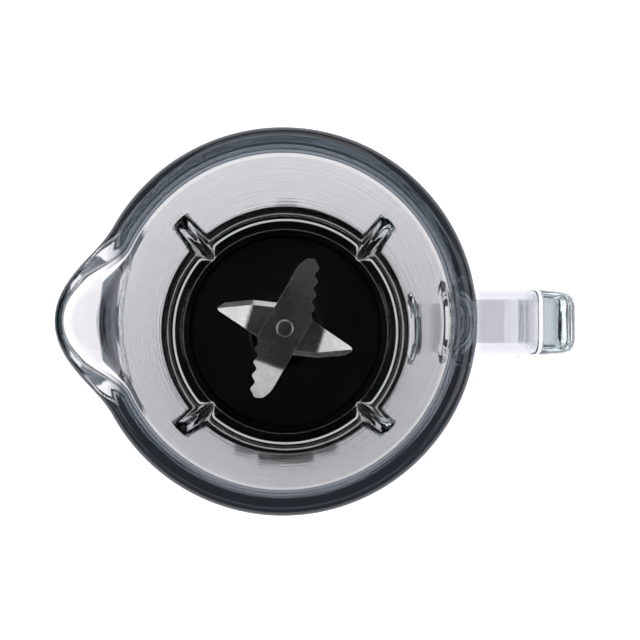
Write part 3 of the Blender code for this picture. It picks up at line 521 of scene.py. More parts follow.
def paint_glass_shade_and_glow(made):
    """Painted shade and light: greys the handle's bridge and the lip's trough, darkens the rim's crown and the
    lip's throat, and gives those two a painted glow.
    """
    split = made.node("ShaderNodeSeparateXYZ")
    made.link(made.place, split.inputs["Vector"])
    x, z = split.outputs["X"], split.outputs["Z"]
    radius = made.radius()
    rim_left, rim_right = AXIS.x - RIM_R, AXIS.x + RIM_R
    grip = AXIS.x + HANDLE_REACH - GRIP_THICK
    bridge = made.product(
        made.rise(x, rim_right, rim_right + 3 * MM),
        made.fall(x, grip - 2 * MM, grip),
    )
    trough = made.product(
        made.fall(x, rim_left + 4 * MM, rim_left + 6 * MM),
        made.fall(z, RIM_Z - 6 * MM, RIM_Z - 3 * MM),
    )
    crown = made.product(
        made.rise(z, RIM_Z - 6.6 * MM, RIM_Z - 4.6 * MM),
        made.rise(x, rim_left + 4 * MM, rim_left + 12 * MM),
    )
    throat = made.product(
        made.rise(z, RIM_Z - LIP_FOOT, RIM_Z - LIP_FOOT + 1 * MM),
        made.fall(z, RIM_Z - 9 * MM, RIM_Z - 8 * MM),
        made.fall(x, AXIS.x - 56 * MM, AXIS.x - 54 * MM),
        made.rise(radius, RIM_INNER_R + 0.2 * MM, RIM_INNER_R + 0.6 * MM),
        made.fall(radius, RIM_R - 3.5 * MM, RIM_R - 2.8 * MM),
    )
    dark = made.larger(crown, throat)
    # Painted shade: the bridge and the trough are greyed.
    colour = made.blended(bridge, (1.0, 1.0, 1.0), BRIDGE_PAINTED_SHADE)
    colour = made.blended(trough, colour, LIP_PAINTED_SHADE)
    # Painted shade: the crown and the throat are darkened.
    made.mix_colour(dark, colour, RIM_PAINTED_SHADE)
    # Painted light: a faint glow on the darkened crown and throat.
    glow = made.blended(dark, (0.0, 0.0, 0.0), RIM_PAINTED_GLOW)
    made.link(glow, made.shader.inputs["Emission Color"])
    made.shader.inputs["Emission Strength"].default_value = 1.0


def black_finish():
    """Black moulded plastic with a soft gloss and a fine grain."""
    made = Finish("black_plastic", (0.004, 0.004, 0.0045), 0.4)
    grain = made.noise(2200, 3.0, 0.55)
    made.bump(grain, 0.02 * MM, 0.5)
    cloud = made.noise(60, 4.0)
    made.vary_roughness(cloud, 0.3, 0.7, 0.36, 0.5)
    made.mix_colour(made.noise(300, 5.0), (0.002, 0.002, 0.0022), (0.005, 0.005, 0.0052))
    made.shader.inputs["Specular IOR Level"].default_value = 0.3
    return made.material


def shell_finish():
    """Light silver-grey painted plastic with a fine flake."""
    made = Finish("base_shell", (0.7, 0.7, 0.72), 0.32, 0.15)
    flake = made.noise(3200, 2.0, 0.7)
    made.mix_colour(made.rise(flake, 0.3, 0.7), (0.60, 0.60, 0.62), (0.74, 0.74, 0.76))
    made.shader.inputs["Coat Weight"].default_value = 0.35
    made.shader.inputs["Coat Roughness"].default_value = 0.12
    made.vary_roughness(made.noise(90, 5.0), 0.3, 0.7, 0.28, 0.42)
    made.bump(made.noise(900, 3.0), 0.012 * MM, 0.5)
    return made.material


def trim_finish():
    """Light grey plastic with the even spark-eroded texture of a mould."""
    made = Finish("trim_plastic", (0.52, 0.52, 0.54), 0.45)
    grain = made.noise(1500, 2.0, 0.6)
    made.bump(grain, 0.04 * MM, 0.6)
    cloud = made.rise(made.noise(130, 6.0), 0.35, 0.65)
    made.mix_colour(cloud, (0.48, 0.48, 0.50), (0.56, 0.56, 0.58))
    made.vary_roughness(made.noise(70, 4.0), 0.3, 0.7, 0.42, 0.6)
    return made.material


def steel_finish():
    """Stainless blade steel: ground lengthways, with fine scratches."""
    made = Finish("blade_steel", (0.60, 0.595, 0.59), 0.26, 1.0)
    along = made.noise(520, 4.0, 0.6, made.stretched((0.05, 1.6, 1)))
    fine = made.noise(3200, 3.0, 0.6, made.stretched((0.03, 1.4, 1)))
    cloud = made.noise(60, 3.0)
    made.vary_roughness(cloud, 0.3, 0.7, 0.23, 0.31)
    made.bump(along, 0.003 * MM, 0.4)
    made.bump(fine, 0.002 * MM, 0.4)
    made.mix_colour(made.rise(along, 0.3, 0.7), (0.54, 0.535, 0.53), (0.62, 0.615, 0.61))
    return made.material


def turned_finish(name, colour, roughness, metallic=1.0):
    """Lathe-turned metal: fine rings round the piece."""
    made = Finish(name, colour, roughness, metallic)
    rings = made.noise(900, 2.0, 0.5, made.stretched((0.15, 0.15, 2.5)))
    made.bump(rings, 0.01 * MM, 0.6)
    made.vary_roughness(made.noise(160, 4.0), 0.3, 0.7, roughness * 0.8, roughness * 1.3)
    cloud = made.rise(made.noise(200, 5.0), 0.3, 0.7)
    made.mix_colour(cloud, scaled(colour, 0.85), scaled(colour, 1.1))
    return made.material


def copper_finish():
    """Wound varnished wire."""
    made = Finish("copper_wire", (0.55, 0.22, 0.09), 0.35, 1.0)
    wire = made.node("ShaderNodeTexWave", wave_type="BANDS", bands_direction="Z")
    wire.inputs["Scale"].default_value = 420
    wire.inputs["Distortion"].default_value = 1.5
    made.link(made.place, wire.inputs["Vector"])
    made.bump(wire.outputs["Fac"], 0.25 * MM, 0.8)
    # Painted shade: the wire is coloured darker in the grooves between turns, where the bump is low.
    made.mix_colour(wire.outputs["Fac"], (0.28, 0.09, 0.035), (0.62, 0.27, 0.12))
    made.vary_roughness(made.noise(300), 0.3, 0.7, 0.28, 0.45)
    return made.material


def core_finish():
    """Stacked steel sheets, seen edge on."""
    made = Finish("core_steel", (0.27, 0.27, 0.29), 0.5, 1.0)
    sheets = made.node("ShaderNodeTexWave", wave_type="BANDS", bands_direction="Z")
    sheets.inputs["Scale"].default_value = 320
    made.link(made.place, sheets.inputs["Vector"])
    made.bump(sheets.outputs["Fac"], 0.08 * MM, 0.7)
    made.mix_colour(made.noise(420, 5.0), (0.18, 0.18, 0.2), (0.34, 0.34, 0.36))
    made.vary_roughness(made.noise(150), 0.3, 0.7, 0.4, 0.65)
    return made.material


def soft_finish(name, colour, roughness, glow=0.0):
    """Rubber and silicone: matt, slightly mottled, with an optional painted glow."""
    made = Finish(name, colour, roughness)
    made.shader.inputs["Emission Color"].default_value = (1, 1, 1, 1)
    made.shader.inputs["Emission Strength"].default_value = glow
    made.bump(made.noise(1300, 4.0, 0.7), 0.05 * MM, 0.6)
    cloud = made.rise(made.noise(180, 5.0), 0.3, 0.7)
    made.mix_colour(cloud, scaled(colour, 0.8), scaled(colour, 1.25))
    made.vary_roughness(made.noise(90, 4.0), 0.3, 0.7, roughness * 0.9, min(1.0, roughness * 1.15))
    return made.material


def make_finishes():
    return {
        "jug_glass": glass_finish(),
        "black_plastic": black_finish(),
        "base_shell": shell_finish(),
        "trim_plastic": trim_finish(),
        "blade_steel": steel_finish(),
        "shaft_steel": turned_finish("shaft_steel", (0.5, 0.5, 0.5), 0.28),
        "bush_bronze": turned_finish("bush_bronze", (0.45, 0.28, 0.12), 0.42),
        "copper_wire": copper_finish(),
        "core_steel": core_finish(),
        "brush_carbon": soft_finish("brush_carbon", (0.03, 0.03, 0.032), 0.6),
        "black_rubber": soft_finish("black_rubber", (0.025, 0.025, 0.026), 0.78),
        "seal_silicone": soft_finish("seal_silicone", (0.7, 0.7, 0.69), 0.5, SEAL_PAINTED_GLOW),
        "board_laminate": soft_finish("board_laminate", (0.04, 0.2, 0.09), 0.4),
    }


def dress_nodes(finishes):
    """Every CAD node gets the finish of its slot."""
    for entry in frame["record"]["subparts"]:
        mesh = NODES[entry["node"]].data
        mesh.materials.clear()
        mesh.materials.append(finishes[entry["material_slot"]])


# ---------------------------------------------------------------- glass jug


def lip_swell(angle, height, inside):
    """How far the wall moves out for the pouring lip."""
    off = abs(math.remainder(angle - math.pi, math.tau))
    half = LIP_INNER_HALF_ANGLE if inside else LIP_HALF_ANGLE
    reach = LIP_INNER_REACH if inside else LIP_REACH
    down = max(RIM_Z - LIP_BEAD - height, 0.0) / LIP_DEPTH
    return reach * cosine_bump(off / half) * max(1 - down, 0.0) ** LIP_CURVE


def thread_depth(angle, height):
    """The single-start thread that the collar screws onto."""
    if not THREAD_LOW <= height <= THREAD_TOP:
        return 0.0
    turns = (height - THREAD_LOW) / THREAD_PITCH
    return THREAD_DEPTH * (1 - math.cos(math.tau * turns - angle)) / 2


def rib_swell(angle, height, radius):
    """How far a mixing rib stands in from the wall."""
    if not RIB_LOW <= height <= RIB_TOP:
        return 0.0
    quarter = math.tau / RIB_COUNT
    off = abs(math.remainder(angle - quarter / 2, quarter) * radius)
    down = (RIB_TOP - height) / (RIB_TOP - RIB_LOW)
    proud = RIB_PROUD_AT_TOP + (RIB_PROUD - RIB_PROUD_AT_TOP) * down
    half = RIB_HALF_WIDTH * (0.8 + 0.2 * down)
    return proud * smooth_step((RIB_TOP - height) / RIB_END) * cosine_bump(off / half)


def jug_outline():
    """Corners of the wall's section: up the outside, over the rim and down the inside."""
    outside = [
        (FOOT_R, JUG_BOTTOM_Z, 1.2 * MM),
        (FOOT_R, COLLAR_TOP + 1 * MM, 20 * MM),
        (NECK_R, NECK_Z, 9 * MM),
        (RIM_R, RIM_Z - 8.5 * MM, 3 * MM),
        (RIM_R, RIM_Z, 4.9 * MM),
    ]
    inside = [
        (RIM_INNER_R, RIM_Z, 3.9 * MM),
        (FLOOR_R, INNER_FLOOR_Z, 3.2 * MM),
        (MOUTH_R, INNER_FLOOR_Z - 0.4 * MM, 0.5 * MM),
        (MOUTH_R, JUG_BOTTOM_Z, 0.8 * MM),
    ]
    return outside, inside


def jug_wall():
    outside, inside = jug_outline()
    points = refined(rounded(outside + inside, steps=10), 3 * MM)
    points = thread_rings(points)
    crown = (RIM_R + RIM_INNER_R) / 2
    rings = []
    for point in points:
        is_inner = point.x < inner_limit(point.y, crown)
        ring = []
        for i in range(WALL_STEPS):
            angle = math.tau * i / WALL_STEPS
            reach = point.x + lip_swell(angle, point.y, is_inner)
            if is_inner:
                reach -= rib_swell(angle, point.y, point.x)
            else:
                reach -= thread_depth(angle, point.y)
            ring.append(on_circle(reach, angle, point.y))
        rings.append(ring)
    return loft(rings, closed_length=True)


def thread_rings(points):
    """The outline with finer steps where the thread is."""
    out = []
    for i, here in enumerate(points):
        there = points[(i + 1) % len(points)]
        threaded = here.x > FOOT_R - 1.5 * MM and max(here.y, there.y) <= THREAD_TOP + 3 * MM
        pieces = math.ceil((there - here).length / (0.5 * MM)) if threaded else 1
        out += [here.lerp(there, k / pieces) for k in range(max(pieces, 1))]
    return out


def inner_limit(height, crown):
    """Radius that divides the wall's inside from its outside at this height."""
    down = (RIM_Z - height) / (RIM_Z - INNER_FLOOR_Z)
    return crown + (FLOOR_R + 2.4 * MM - crown) * min(down, 1.0)


def rounded_box_section(width, thick, radius, steps=5):
    return refined(rounded(rectangle(width / 2, thick / 2, radius), steps), 3 * MM)


def handle_centre_line():
    grip = HANDLE_REACH - GRIP_THICK / 2
    top = HANDLE_TOP - BRIDGE_THICK / 2
    corners = [
        (RIM_R - 7 * MM, top, 0),
        (grip, top, HANDLE_BEND),
        (grip, HANDLE_LOW, HANDLE_BEND),
        (FLOOR_R + 4.3 * MM, HANDLE_LOW, 0),
    ]
    return refined(rounded(corners, steps=14, closed=False), 2.5 * MM, closed=False)


def wall_outer_radius(height):
    up = (height - COLLAR_TOP) / (NECK_Z - COLLAR_TOP)
    return FOOT_R + (NECK_R - FOOT_R) * up


def handle_sweep():
    path = handle_centre_line()
    rings = []
    for i, point in enumerate(path):
        along = (path[min(i + 1, len(path) - 1)] - path[max(i - 1, 0)]).normalized()
        out = Vector((-along.y, along.x))
        thick = BRIDGE_THICK + (GRIP_THICK - BRIDGE_THICK) * along.y ** 2
        gap = point.x - wall_outer_radius(point.y)
        near = min(max(1 - gap / ROOT_FLARE, 0.0), 1.0)
        flare = ROOT_FLARE * (1 - math.sqrt(1 - near * near))
        section = rounded_box_section(HANDLE_WIDTH + 2 * flare, thick + 2 * flare, 6 * MM)
        rings.append([Vector((point.x + out.x * q.y, q.x, point.y + out.y * q.y)) for q in section])
    return loft(rings, closed_length=False)


def make_jug(finishes):
    jug = add("jug_glass_body", jug_wall(), finishes["jug_glass"], smooth=60)
    handle = add("handle_shape", handle_sweep(), None)
    combined(jug, [handle], "UNION")
    jug.data.set_sharp_from_angle(angle=math.radians(60))
    return show(on_axis(jug), "jug", "jug_glass", "glass_jug")


# ---------------------------------------------------------------- blade unit


def make_collar(finishes):
    """The black threaded collar, with grip flutes round its outside."""
    bore = FOOT_R + 0.5 * MM
    ledge = low("blade_holder").z - 0.3 * MM + 3 * MM
    corners = [
        (50 * MM, COLLAR_LOW, 0.5 * MM),
        (COLLAR_R - 0.4 * MM, COLLAR_LOW, 1.2 * MM),
        (COLLAR_R - 0.4 * MM, COLLAR_LOW + 8 * MM, 0.3 * MM),
        (COLLAR_R, COLLAR_LOW + 9 * MM, 0.3 * MM),
        (COLLAR_R, COLLAR_TOP - 6 * MM, 0.3 * MM),
        (COLLAR_R - 0.6 * MM, COLLAR_TOP - 5 * MM, 0.3 * MM),
        (COLLAR_R - 0.6 * MM, COLLAR_TOP, 1 * MM),
        (bore, COLLAR_TOP, 0.4 * MM),
        (bore, ledge, 0.3 * MM),
        (47 * MM, ledge, 0.3 * MM),
        (47 * MM, COLLAR_LOW + 2.5 * MM, 0.3 * MM),
    ]
    points = refined(rounded(corners, 4), 3 * MM)
    grip_low, grip_high = COLLAR_LOW + 10 * MM, COLLAR_TOP - 7 * MM
    rings = []
    for point in points:
        in_grip = point.x > COLLAR_R - 0.1 * MM and grip_low <= point.y <= grip_high
        depth = 0.45 * MM if in_grip else 0.0
        ring = []
        for i in range(COLLAR_STEPS):
            angle = math.tau * i / COLLAR_STEPS
            wave = (1 - math.cos(COLLAR_FLUTES * angle)) / 2
            ring.append(on_circle(point.x - depth * wave, angle, point.y))
        rings.append(ring)
    collar = add("collar_shell", loft(rings, closed_length=True), finishes["black_plastic"])
    return show(on_axis(collar), "jug", "black_plastic", "jug_collar")


def make_holder(finishes):
    """The black floor: a raised rim, a shallow dish and the hub under the blades."""
    bottom = low("blade_holder").z + 3 * MM
    top = high("blade_holder").z
    flange_top = JUG_BOTTOM_Z - 1.8 * MM
    floor = JUG_BOTTOM_Z + 6.5 * MM
    corners = [
        (54.5 * MM, bottom, 0.3 * MM),
        (54.5 * MM, flange_top, 0.3 * MM),
        (SPIGOT_R, flange_top, 0.3 * MM),
        (SPIGOT_R, floor + 2.3 * MM, 0.7 * MM),
        (43.3 * MM, floor + 2.3 * MM, 0.25 * MM),
        (42 * MM, floor, 0.8 * MM),
        (15 * MM, floor, 3 * MM),
        (11.5 * MM, floor + 12 * MM, 8 * MM),
        (9 * MM, top, 0.8 * MM),
        (HOUSING_R, top, 0.2 * MM),
        (HOUSING_R, top - 14 * MM, 0.2 * MM),
        (5.5 * MM, top - 14 * MM, 0.2 * MM),
        (5.5 * MM, bottom + 5 * MM, 0.2 * MM),
        (HOUSING_R, bottom + 5 * MM, 0.2 * MM),
        (HOUSING_R, bottom - 3 * MM, 0.2 * MM),
        (11.5 * MM, bottom - 3 * MM, 0.5 * MM),
        (11.5 * MM, floor - 3 * MM, 1 * MM),
        (41 * MM, floor - 3 * MM, 1 * MM),
        (43 * MM, bottom, 0.3 * MM),
    ]
    holder = add("holder_floor", lathed(corners, 4, 4 * MM, 160), finishes["black_plastic"])
    return show(on_axis(holder), "jug", "black_plastic", "blade_holder")


def upper_blade_outline():
    """The toothed blade: a scalloped leading edge and a straight trailing edge, twice."""
    inner, outer = Vector((6.6, 9.6)) * MM, Vector((31.2, 3.4)) * MM
    along = (outer - inner).normalized()
    across = Vector((-along.y, along.x))
    teeth = 4.5
    wave = 0.75 * MM
    arm = []
    steps = 64
    for i in range(steps + 1):
        t = i / steps
        rise = wave * math.cos(math.tau * teeth * t) * min(1, 6 * t)
        arm.append(inner.lerp(outer, t) + across * rise)
    tip = [(31.4, 1.6, 1), (30.6, -1.4, 3), (26.6, -3.7, 5)]
    corners = [(arm[-1].x, arm[-1].y, 0)] + [(x * MM, y * MM, r * MM) for x, y, r in tip]
    corners += [(-arm[0].x, -arm[0].y, 0)]
    arm += rounded(corners, 5, closed=False)[1:-1]
    return mirrored(arm + [-point for point in arm])


def mirrored(points):
    """The outlines are drawn as seen from below. The blades turn clockwise seen from above."""
    return [Vector((point.x, -point.y)) for point in points]


def lower_blade_outline():
    """The ground blade: two pointed arms, each with a kinked leading edge."""
    arm = [(*point, fillet) for point, fillet in zip(LOWER_LEADING, (0, 2, 0.8))]
    arm += [(30.3, 0.2, 1.2), (29.3, -1.1, 1), (1.7, -9.1, 2)]
    arm = [(x * MM, y * MM, r * MM) for x, y, r in arm]
    corners = arm + [(-x, -y, r) for x, y, r in arm]
    return mirrored(rounded(corners, 5))


def bend_rise(along, bend):
    """Height of the bent plate's centre at this distance along the arm."""
    beyond = abs(along) - (BEND_AT - BEND_SPAN / 2)
    if beyond <= 0:
        return 0.0
    if beyond < BEND_SPAN:
        return math.tan(bend) * beyond * beyond / (2 * BEND_SPAN)
    return math.tan(bend) * (beyond - BEND_SPAN / 2)


def blade_plate(outline, thick, cuts):
    """A flat plate, cut along the given (point, normal) lines so that it can bend there."""
    build = bmesh.new()
    face = build.faces.new([build.verts.new((p.x, p.y, 0)) for p in outline])
    grown = bmesh.ops.extrude_face_region(build, geom=[face])
    up = [g for g in grown["geom"] if isinstance(g, bmesh.types.BMVert)]
    bmesh.ops.translate(build, vec=(0, 0, thick), verts=up)
    for point, normal in cuts:
        whole = build.verts[:] + build.edges[:] + build.faces[:]
        bmesh.ops.bisect_plane(build, geom=whole, plane_co=point, plane_no=normal, dist=1e-7)
    return build


def bend_cuts():
    cuts = []
    for side in (-1, 1):
        for k in range(7):
            along = side * (BEND_AT - BEND_SPAN / 2 + BEND_SPAN * k / 6)
            cuts.append((Vector((along, 0, 0)), Vector((1, 0, 0))))
    return cuts


def leading_edges():
    """The straight stretches of the lower blade's ground edges, as (point, inward normal)."""
    edges = []
    for start, end in zip(LOWER_LEADING, LOWER_LEADING[1:]):
        a, b = mirrored([Vector(start) * MM, Vector(end) * MM])
        along = (b - a).normalized()
        inward = Vector((-along.y, along.x))
        edges.append((a, inward))
        edges.append((-a, -inward))
    return edges


def finish_blade(name, build, bend, bottom, turn, steel, node):
    """Bends the plate, bores it for the shaft, softens its edges and turns it to its place."""
    for vert in build.verts:
        vert.co.z += bend_rise(vert.co.x, bend)
    blade = add(name, build, steel)
    combined(blade, [add("shaft_hole", rod(SHAFT_HOLE, -5 * MM, 9 * MM), None)], "DIFFERENCE")
    bevelled(blade, 0.35 * MM, 1, 45)
    place = Matrix.Translation(AXIS + Vector((0, 0, bottom)))
    blade.matrix_world = place @ Matrix.Rotation(turn, 4, "Z")
    return show(blade, "blades", "blade_steel", node)


def make_blades(finishes):
    steel = finishes["blade_steel"]
    lower_z = high("blade_spacer").z + BLADE_GAP
    upper_z = lower_z + LOWER_THICK + BLADE_GAP

    upper = blade_plate(upper_blade_outline(), UPPER_THICK, bend_cuts())
    finish_blade("toothed_blade", upper, UPPER_BEND, upper_z, UPPER_TURN, steel, "upper_blade")

    edges = leading_edges()
    grind = [(Vector((*(a + n * GRIND_WIDTH), 0)), Vector((*n, 0))) for a, n in edges]
    lower = blade_plate(lower_blade_outline(), LOWER_THICK, bend_cuts() + grind)
    for vert in lower.verts:
        if vert.co.z < LOWER_THICK / 2:
            continue
        inside = min((vert.co.xy - a).dot(n) for a, n in edges)
        missing = max(0.0, GRIND_WIDTH - inside) / GRIND_WIDTH
        vert.co.z -= min(missing, 1.0) * (LOWER_THICK - GROUND_EDGE)
    finish_blade("ground_blade", lower, LOWER_BEND, lower_z, LOWER_TURN, steel, "lower_blade")

    bottom, top = low("blade_rivet").z, high("blade_rivet").z
    radius = high("blade_rivet").y
    corners = [
        (0, bottom, 0),
        (radius, bottom, 0.2 * MM),
        (radius, top - 0.7 * MM, 0.3 * MM),
        (radius - 0.5 * MM, top - 0.25 * MM, 0.5 * MM),
        (0, top - 0.1 * MM, 0),
    ]
    rivet = add("rivet_head", turned(rounded(corners, 4, closed=False), 64), steel)
    show(on_axis(rivet), "blades", "blade_steel", "blade_rivet")


def make_seal(finishes):
    """The pale ring that the glass foot presses on."""
    bottom, top = low("jug_seal").z, high("jug_seal").z
    soft = 0.4 * MM
    corners = [
        (SEAL_R, bottom, soft),
        (SEAL_OUTER_R, bottom, soft),
        (SEAL_OUTER_R, top, soft),
        (SEAL_R, top, soft),
    ]
    seal = add("seal_ring", lathed(corners, 4, 2 * MM, 160), finishes["seal_silicone"])
    return show(on_axis(seal), "jug", "seal_silicone", "jug_seal")


# ---------------------------------------------------------------- motor base


def panel_place(height, out=0.0):
    """The frame on the panel's face at this height: local +Z points out of the panel."""
    reach = BASE_SHOULDER_R + (BASE_SHOULDER_Z - height) * math.tan(WALL_LEAN) + PANEL_PROUD
    turn = Matrix.Rotation(math.radians(90) - WALL_LEAN, 4, "X")
    return Matrix.Translation((AXIS.x, -reach, height)) @ turn @ Matrix.Translation((0, 0, out))


def soft_plate(half_w, half_h, under, over, radius):
    """A flat plate with rounded corners, between two heights."""
    outline = rounded(rectangle(half_w, half_h, radius), 8)
    rings = [[Vector((p.x, p.y, z)) for p in outline] for z in (under, over)]
    return loft(rings, closed_length=False)


def cutter(build, matrix):
    return placed(add("cutter", build, None), matrix)


def make_housing(finishes):
    """The tapered shell, with the opening for the panel and the hole for the cord gland."""
    shoulder, top = BASE_SHOULDER_R, BASE_SHOULDER_Z
    inside = SEAT_R + 0.3 * MM
    corners = [
        (BASE_R - BASE_WALL, BASE_LOW, 0.3 * MM),
        (BASE_R, BASE_LOW, 1.2 * MM),
        (BASE_R, BASE_LOW + 5 * MM, 2.5 * MM),
        (BASE_R - 1.1 * MM, BASE_LOW + 9 * MM, 0.8 * MM),
        (BASE_R - 1.7 * MM, BASE_LOW + 9.6 * MM, 0.4 * MM),
        (BASE_R - 1.4 * MM, BASE_LOW + 11 * MM, 0.6 * MM),
        (shoulder, top, 3 * MM),
        (shoulder - 0.6 * MM, top + 4 * MM, 3 * MM),
        (inside + 1.4 * MM, top + 8 * MM, 2.2 * MM),
        (inside, top + 8 * MM, 0.3 * MM),
        (inside, top + 1.5 * MM, 0.3 * MM),
        (SEAT_R - 4.6 * MM, top + 1.5 * MM, 0.3 * MM),
        (SEAT_R - 4.6 * MM, top - 1.5 * MM, 0.3 * MM),
        (shoulder - BASE_WALL, top - 1.5 * MM, 0.3 * MM),
        (BASE_R - 1.4 * MM - BASE_WALL, BASE_LOW + 12 * MM, 1 * MM),
    ]
    housing = on_axis(add("housing_shell", lathed(corners, 5, 8 * MM, 160), finishes["base_shell"]))
    grown = 0.4 * MM
    panel_w, panel_h = PANEL_HALF_WIDTH + grown, PANEL_HALF_HEIGHT + grown
    opening = cutter(soft_plate(panel_w, panel_h, -27 * MM, 10 * MM, 8 * MM), panel_place(PANEL_Z))
    gland_low, gland_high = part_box("cord_gland")
    middle = (gland_low + gland_high) / 2
    towards_back = Matrix.Translation(middle) @ Matrix.Rotation(math.radians(-90), 4, "X")
    gland_hole = cutter(rod(6 * MM, -12 * MM, 12 * MM), towards_back)
    combined(housing, [opening, gland_hole], "DIFFERENCE")
    return show(housing, "base", "base_shell", "base_housing")


def make_panel(finishes):
    """A flat panel with a soft edge, a shallow dish round the knob and moulded ticks."""
    half_w, half_h, radius = PANEL_HALF_WIDTH, PANEL_HALF_HEIGHT, 8 * MM
    here = panel_place(PANEL_Z)
    face = soft_plate(half_w, half_h, -PANEL_SKIN, 0, radius)
    panel = placed(add("panel_face", face, finishes["trim_plastic"]), here)
    skirt = soft_plate(half_w, half_h, -PANEL_DEPTH, -PANEL_SKIN + 1 * MM, radius)
    combined(panel, [cutter(skirt, here)], "UNION")
    inside_w, inside_h = half_w - PANEL_SKIN, half_h - PANEL_SKIN
    hollow = soft_plate(inside_w, inside_h, -2 * PANEL_DEPTH, -PANEL_SKIN, 6 * MM)
    dish = [
        Vector((0, -0.5 * MM)),
        Vector((KNOB_R + 1.2 * MM, -0.5 * MM)),
        Vector((KNOB_R + 2 * MM, 0.3 * MM)),
        Vector((0, 0.3 * MM)),
    ]
    shapes = [
        cutter(hollow, here),
        cutter(turned(dish, 96), panel_place(KNOB_Z)),
        cutter(rod(3.6 * MM, -8 * MM, 4 * MM), panel_place(KNOB_Z)),
        cutter(rod(BUTTON_R + 0.3 * MM, -8 * MM, 4 * MM, 64), panel_place(BUTTON_Z)),
    ]
    combined(panel, shapes, "DIFFERENCE")
    bevelled(panel, 0.5 * MM, 3, 50)
    show(panel, "base", "trim_plastic", "control_panel")

    ticks = bmesh.new()
    for i in range(TICK_COUNT):
        turn = Matrix.Rotation(-KNOB_TURN * i / (TICK_COUNT - 1), 4, "Z")
        start = KNOB_R + 3 * MM
        end = start + (1.6 + 0.5 * i) * MM
        add_box(ticks, (-0.5 * MM, start, -0.4 * MM), (0.5 * MM, end, 0.25 * MM), turn)
    ticks = placed(add("dial_ticks", ticks, finishes["black_plastic"]), panel_place(KNOB_Z))
    bevelled(ticks, 0.12 * MM, 2)
    show(ticks, "base", "black_plastic")


def make_knob(finishes):
    """A black knob with fine knurling, a dished face and a pale pointer."""
    top = KNOB_HEIGHT
    corners = [
        (KNOB_R - 1.2 * MM, 0.2 * MM, 0),
        (KNOB_R, 1.2 * MM, 0.6 * MM),
        (KNOB_R - 0.6 * MM, top - 0.4 * MM, 0.9 * MM),
        (KNOB_R - 2.6 * MM, top, 1.2 * MM),
        (KNOB_R - 6 * MM, top - 0.7 * MM, 3 * MM),
        (0.4 * MM, top - 0.9 * MM, 0),
    ]
    points = refined(rounded(corners, 6, closed=False), 2.5 * MM, closed=False)
    rings = []
    for point in points:
        grip = min(max((point.x - (KNOB_R - 2.2 * MM)) / (1.4 * MM), 0.0), 1.0)
        ring = []
        for i in range(KNOB_STEPS):
            angle = math.tau * i / KNOB_STEPS
            wave = (1 + math.cos(KNOB_FLUTES * angle)) / 2
            ring.append(on_circle(point.x - 0.5 * MM * wave * grip, angle, point.y))
        rings.append(ring)
    here = panel_place(KNOB_Z)
    pointer = here @ Matrix.Translation((0, POINTER_R, 0))
    cap = loft(rings, closed_length=False)
    knob = placed(add("knob_cap", cap, finishes["black_plastic"]), here)
    stem = cutter(rod(3 * MM, -12 * MM, 1 * MM), here)
    groove = cutter(soft_plate(0.8 * MM, 4.2 * MM, top - 1.4 * MM, top + 1 * MM, 0.6 * MM), pointer)
    combined(knob, [stem], "UNION")
    combined(knob, [groove], "DIFFERENCE")
    show(knob, "knob", "black_plastic", "control_knob")
    mark = soft_plate(0.7 * MM, 4.1 * MM, top - 1.6 * MM, top - 0.7 * MM, 0.55 * MM)
    mark = placed(add("knob_pointer", mark, finishes["base_shell"]), pointer)
    bevelled(mark, 0.15 * MM, 2)
    show(mark, "knob", "base_shell")


def make_button(finishes):
    """A round push button with a soft edge and a shallow finger dish."""
    under = PANEL_SKIN + 0.3 * MM
    corners = [
        (0, -8 * MM, 0),
        (2.2 * MM, -8 * MM, 0.3 * MM),
        (2.2 * MM, -under - 2 * MM, 0.3 * MM),
        (BUTTON_R + 1.3 * MM, -under - 2 * MM, 0.3 * MM),
        (BUTTON_R + 1.3 * MM, -under, 0.3 * MM),
        (BUTTON_R, -under, 0.2 * MM),
        (BUTTON_R, 3.4 * MM, 1.1 * MM),
        (BUTTON_R - 3 * MM, 3.1 * MM, 2.4 * MM),
        (0, 2.7 * MM, 0),
    ]
    build = turned(refined(rounded(corners, 6, closed=False), 2 * MM, closed=False), 96)
    button = placed(add("button_cap", build, finishes["black_plastic"]), panel_place(BUTTON_Z))
    show(button, "button", "black_plastic", "pulse_button")


def wound_wire(wire, radius, under, over, turns, steps=24, sides=10):
    """A helical wire along local Z, with closed ends."""
    lead = (over - under) / (math.tau * turns)
    rings = []
    for i in range(turns * steps + 1):
        angle = math.tau * i / steps
        out = on_circle(1, angle)
        along = Vector((-out.y * radius, out.x * radius, lead)).normalized()
        side = out.cross(along)
        middle = out * radius + Vector((0, 0, under + lead * angle))
        around = [math.tau * k / sides for k in range(sides)]
        rings.append([middle + (out * math.cos(a) + side * math.sin(a)) * wire for a in around])
    return loft(rings, closed_length=False)


def make_spring(finishes):
    """The pulse button's return spring."""
    under, over = -SPRING_DEPTH, -PANEL_SKIN - 2.8 * MM
    build = wound_wire(SPRING_WIRE, SPRING_R, under, over, SPRING_TURNS)
    spring = placed(add("button_spring", build, finishes["shaft_steel"]), panel_place(BUTTON_Z))
    show(spring, "base", "shaft_steel", "pulse_spring")
    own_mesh(spring)


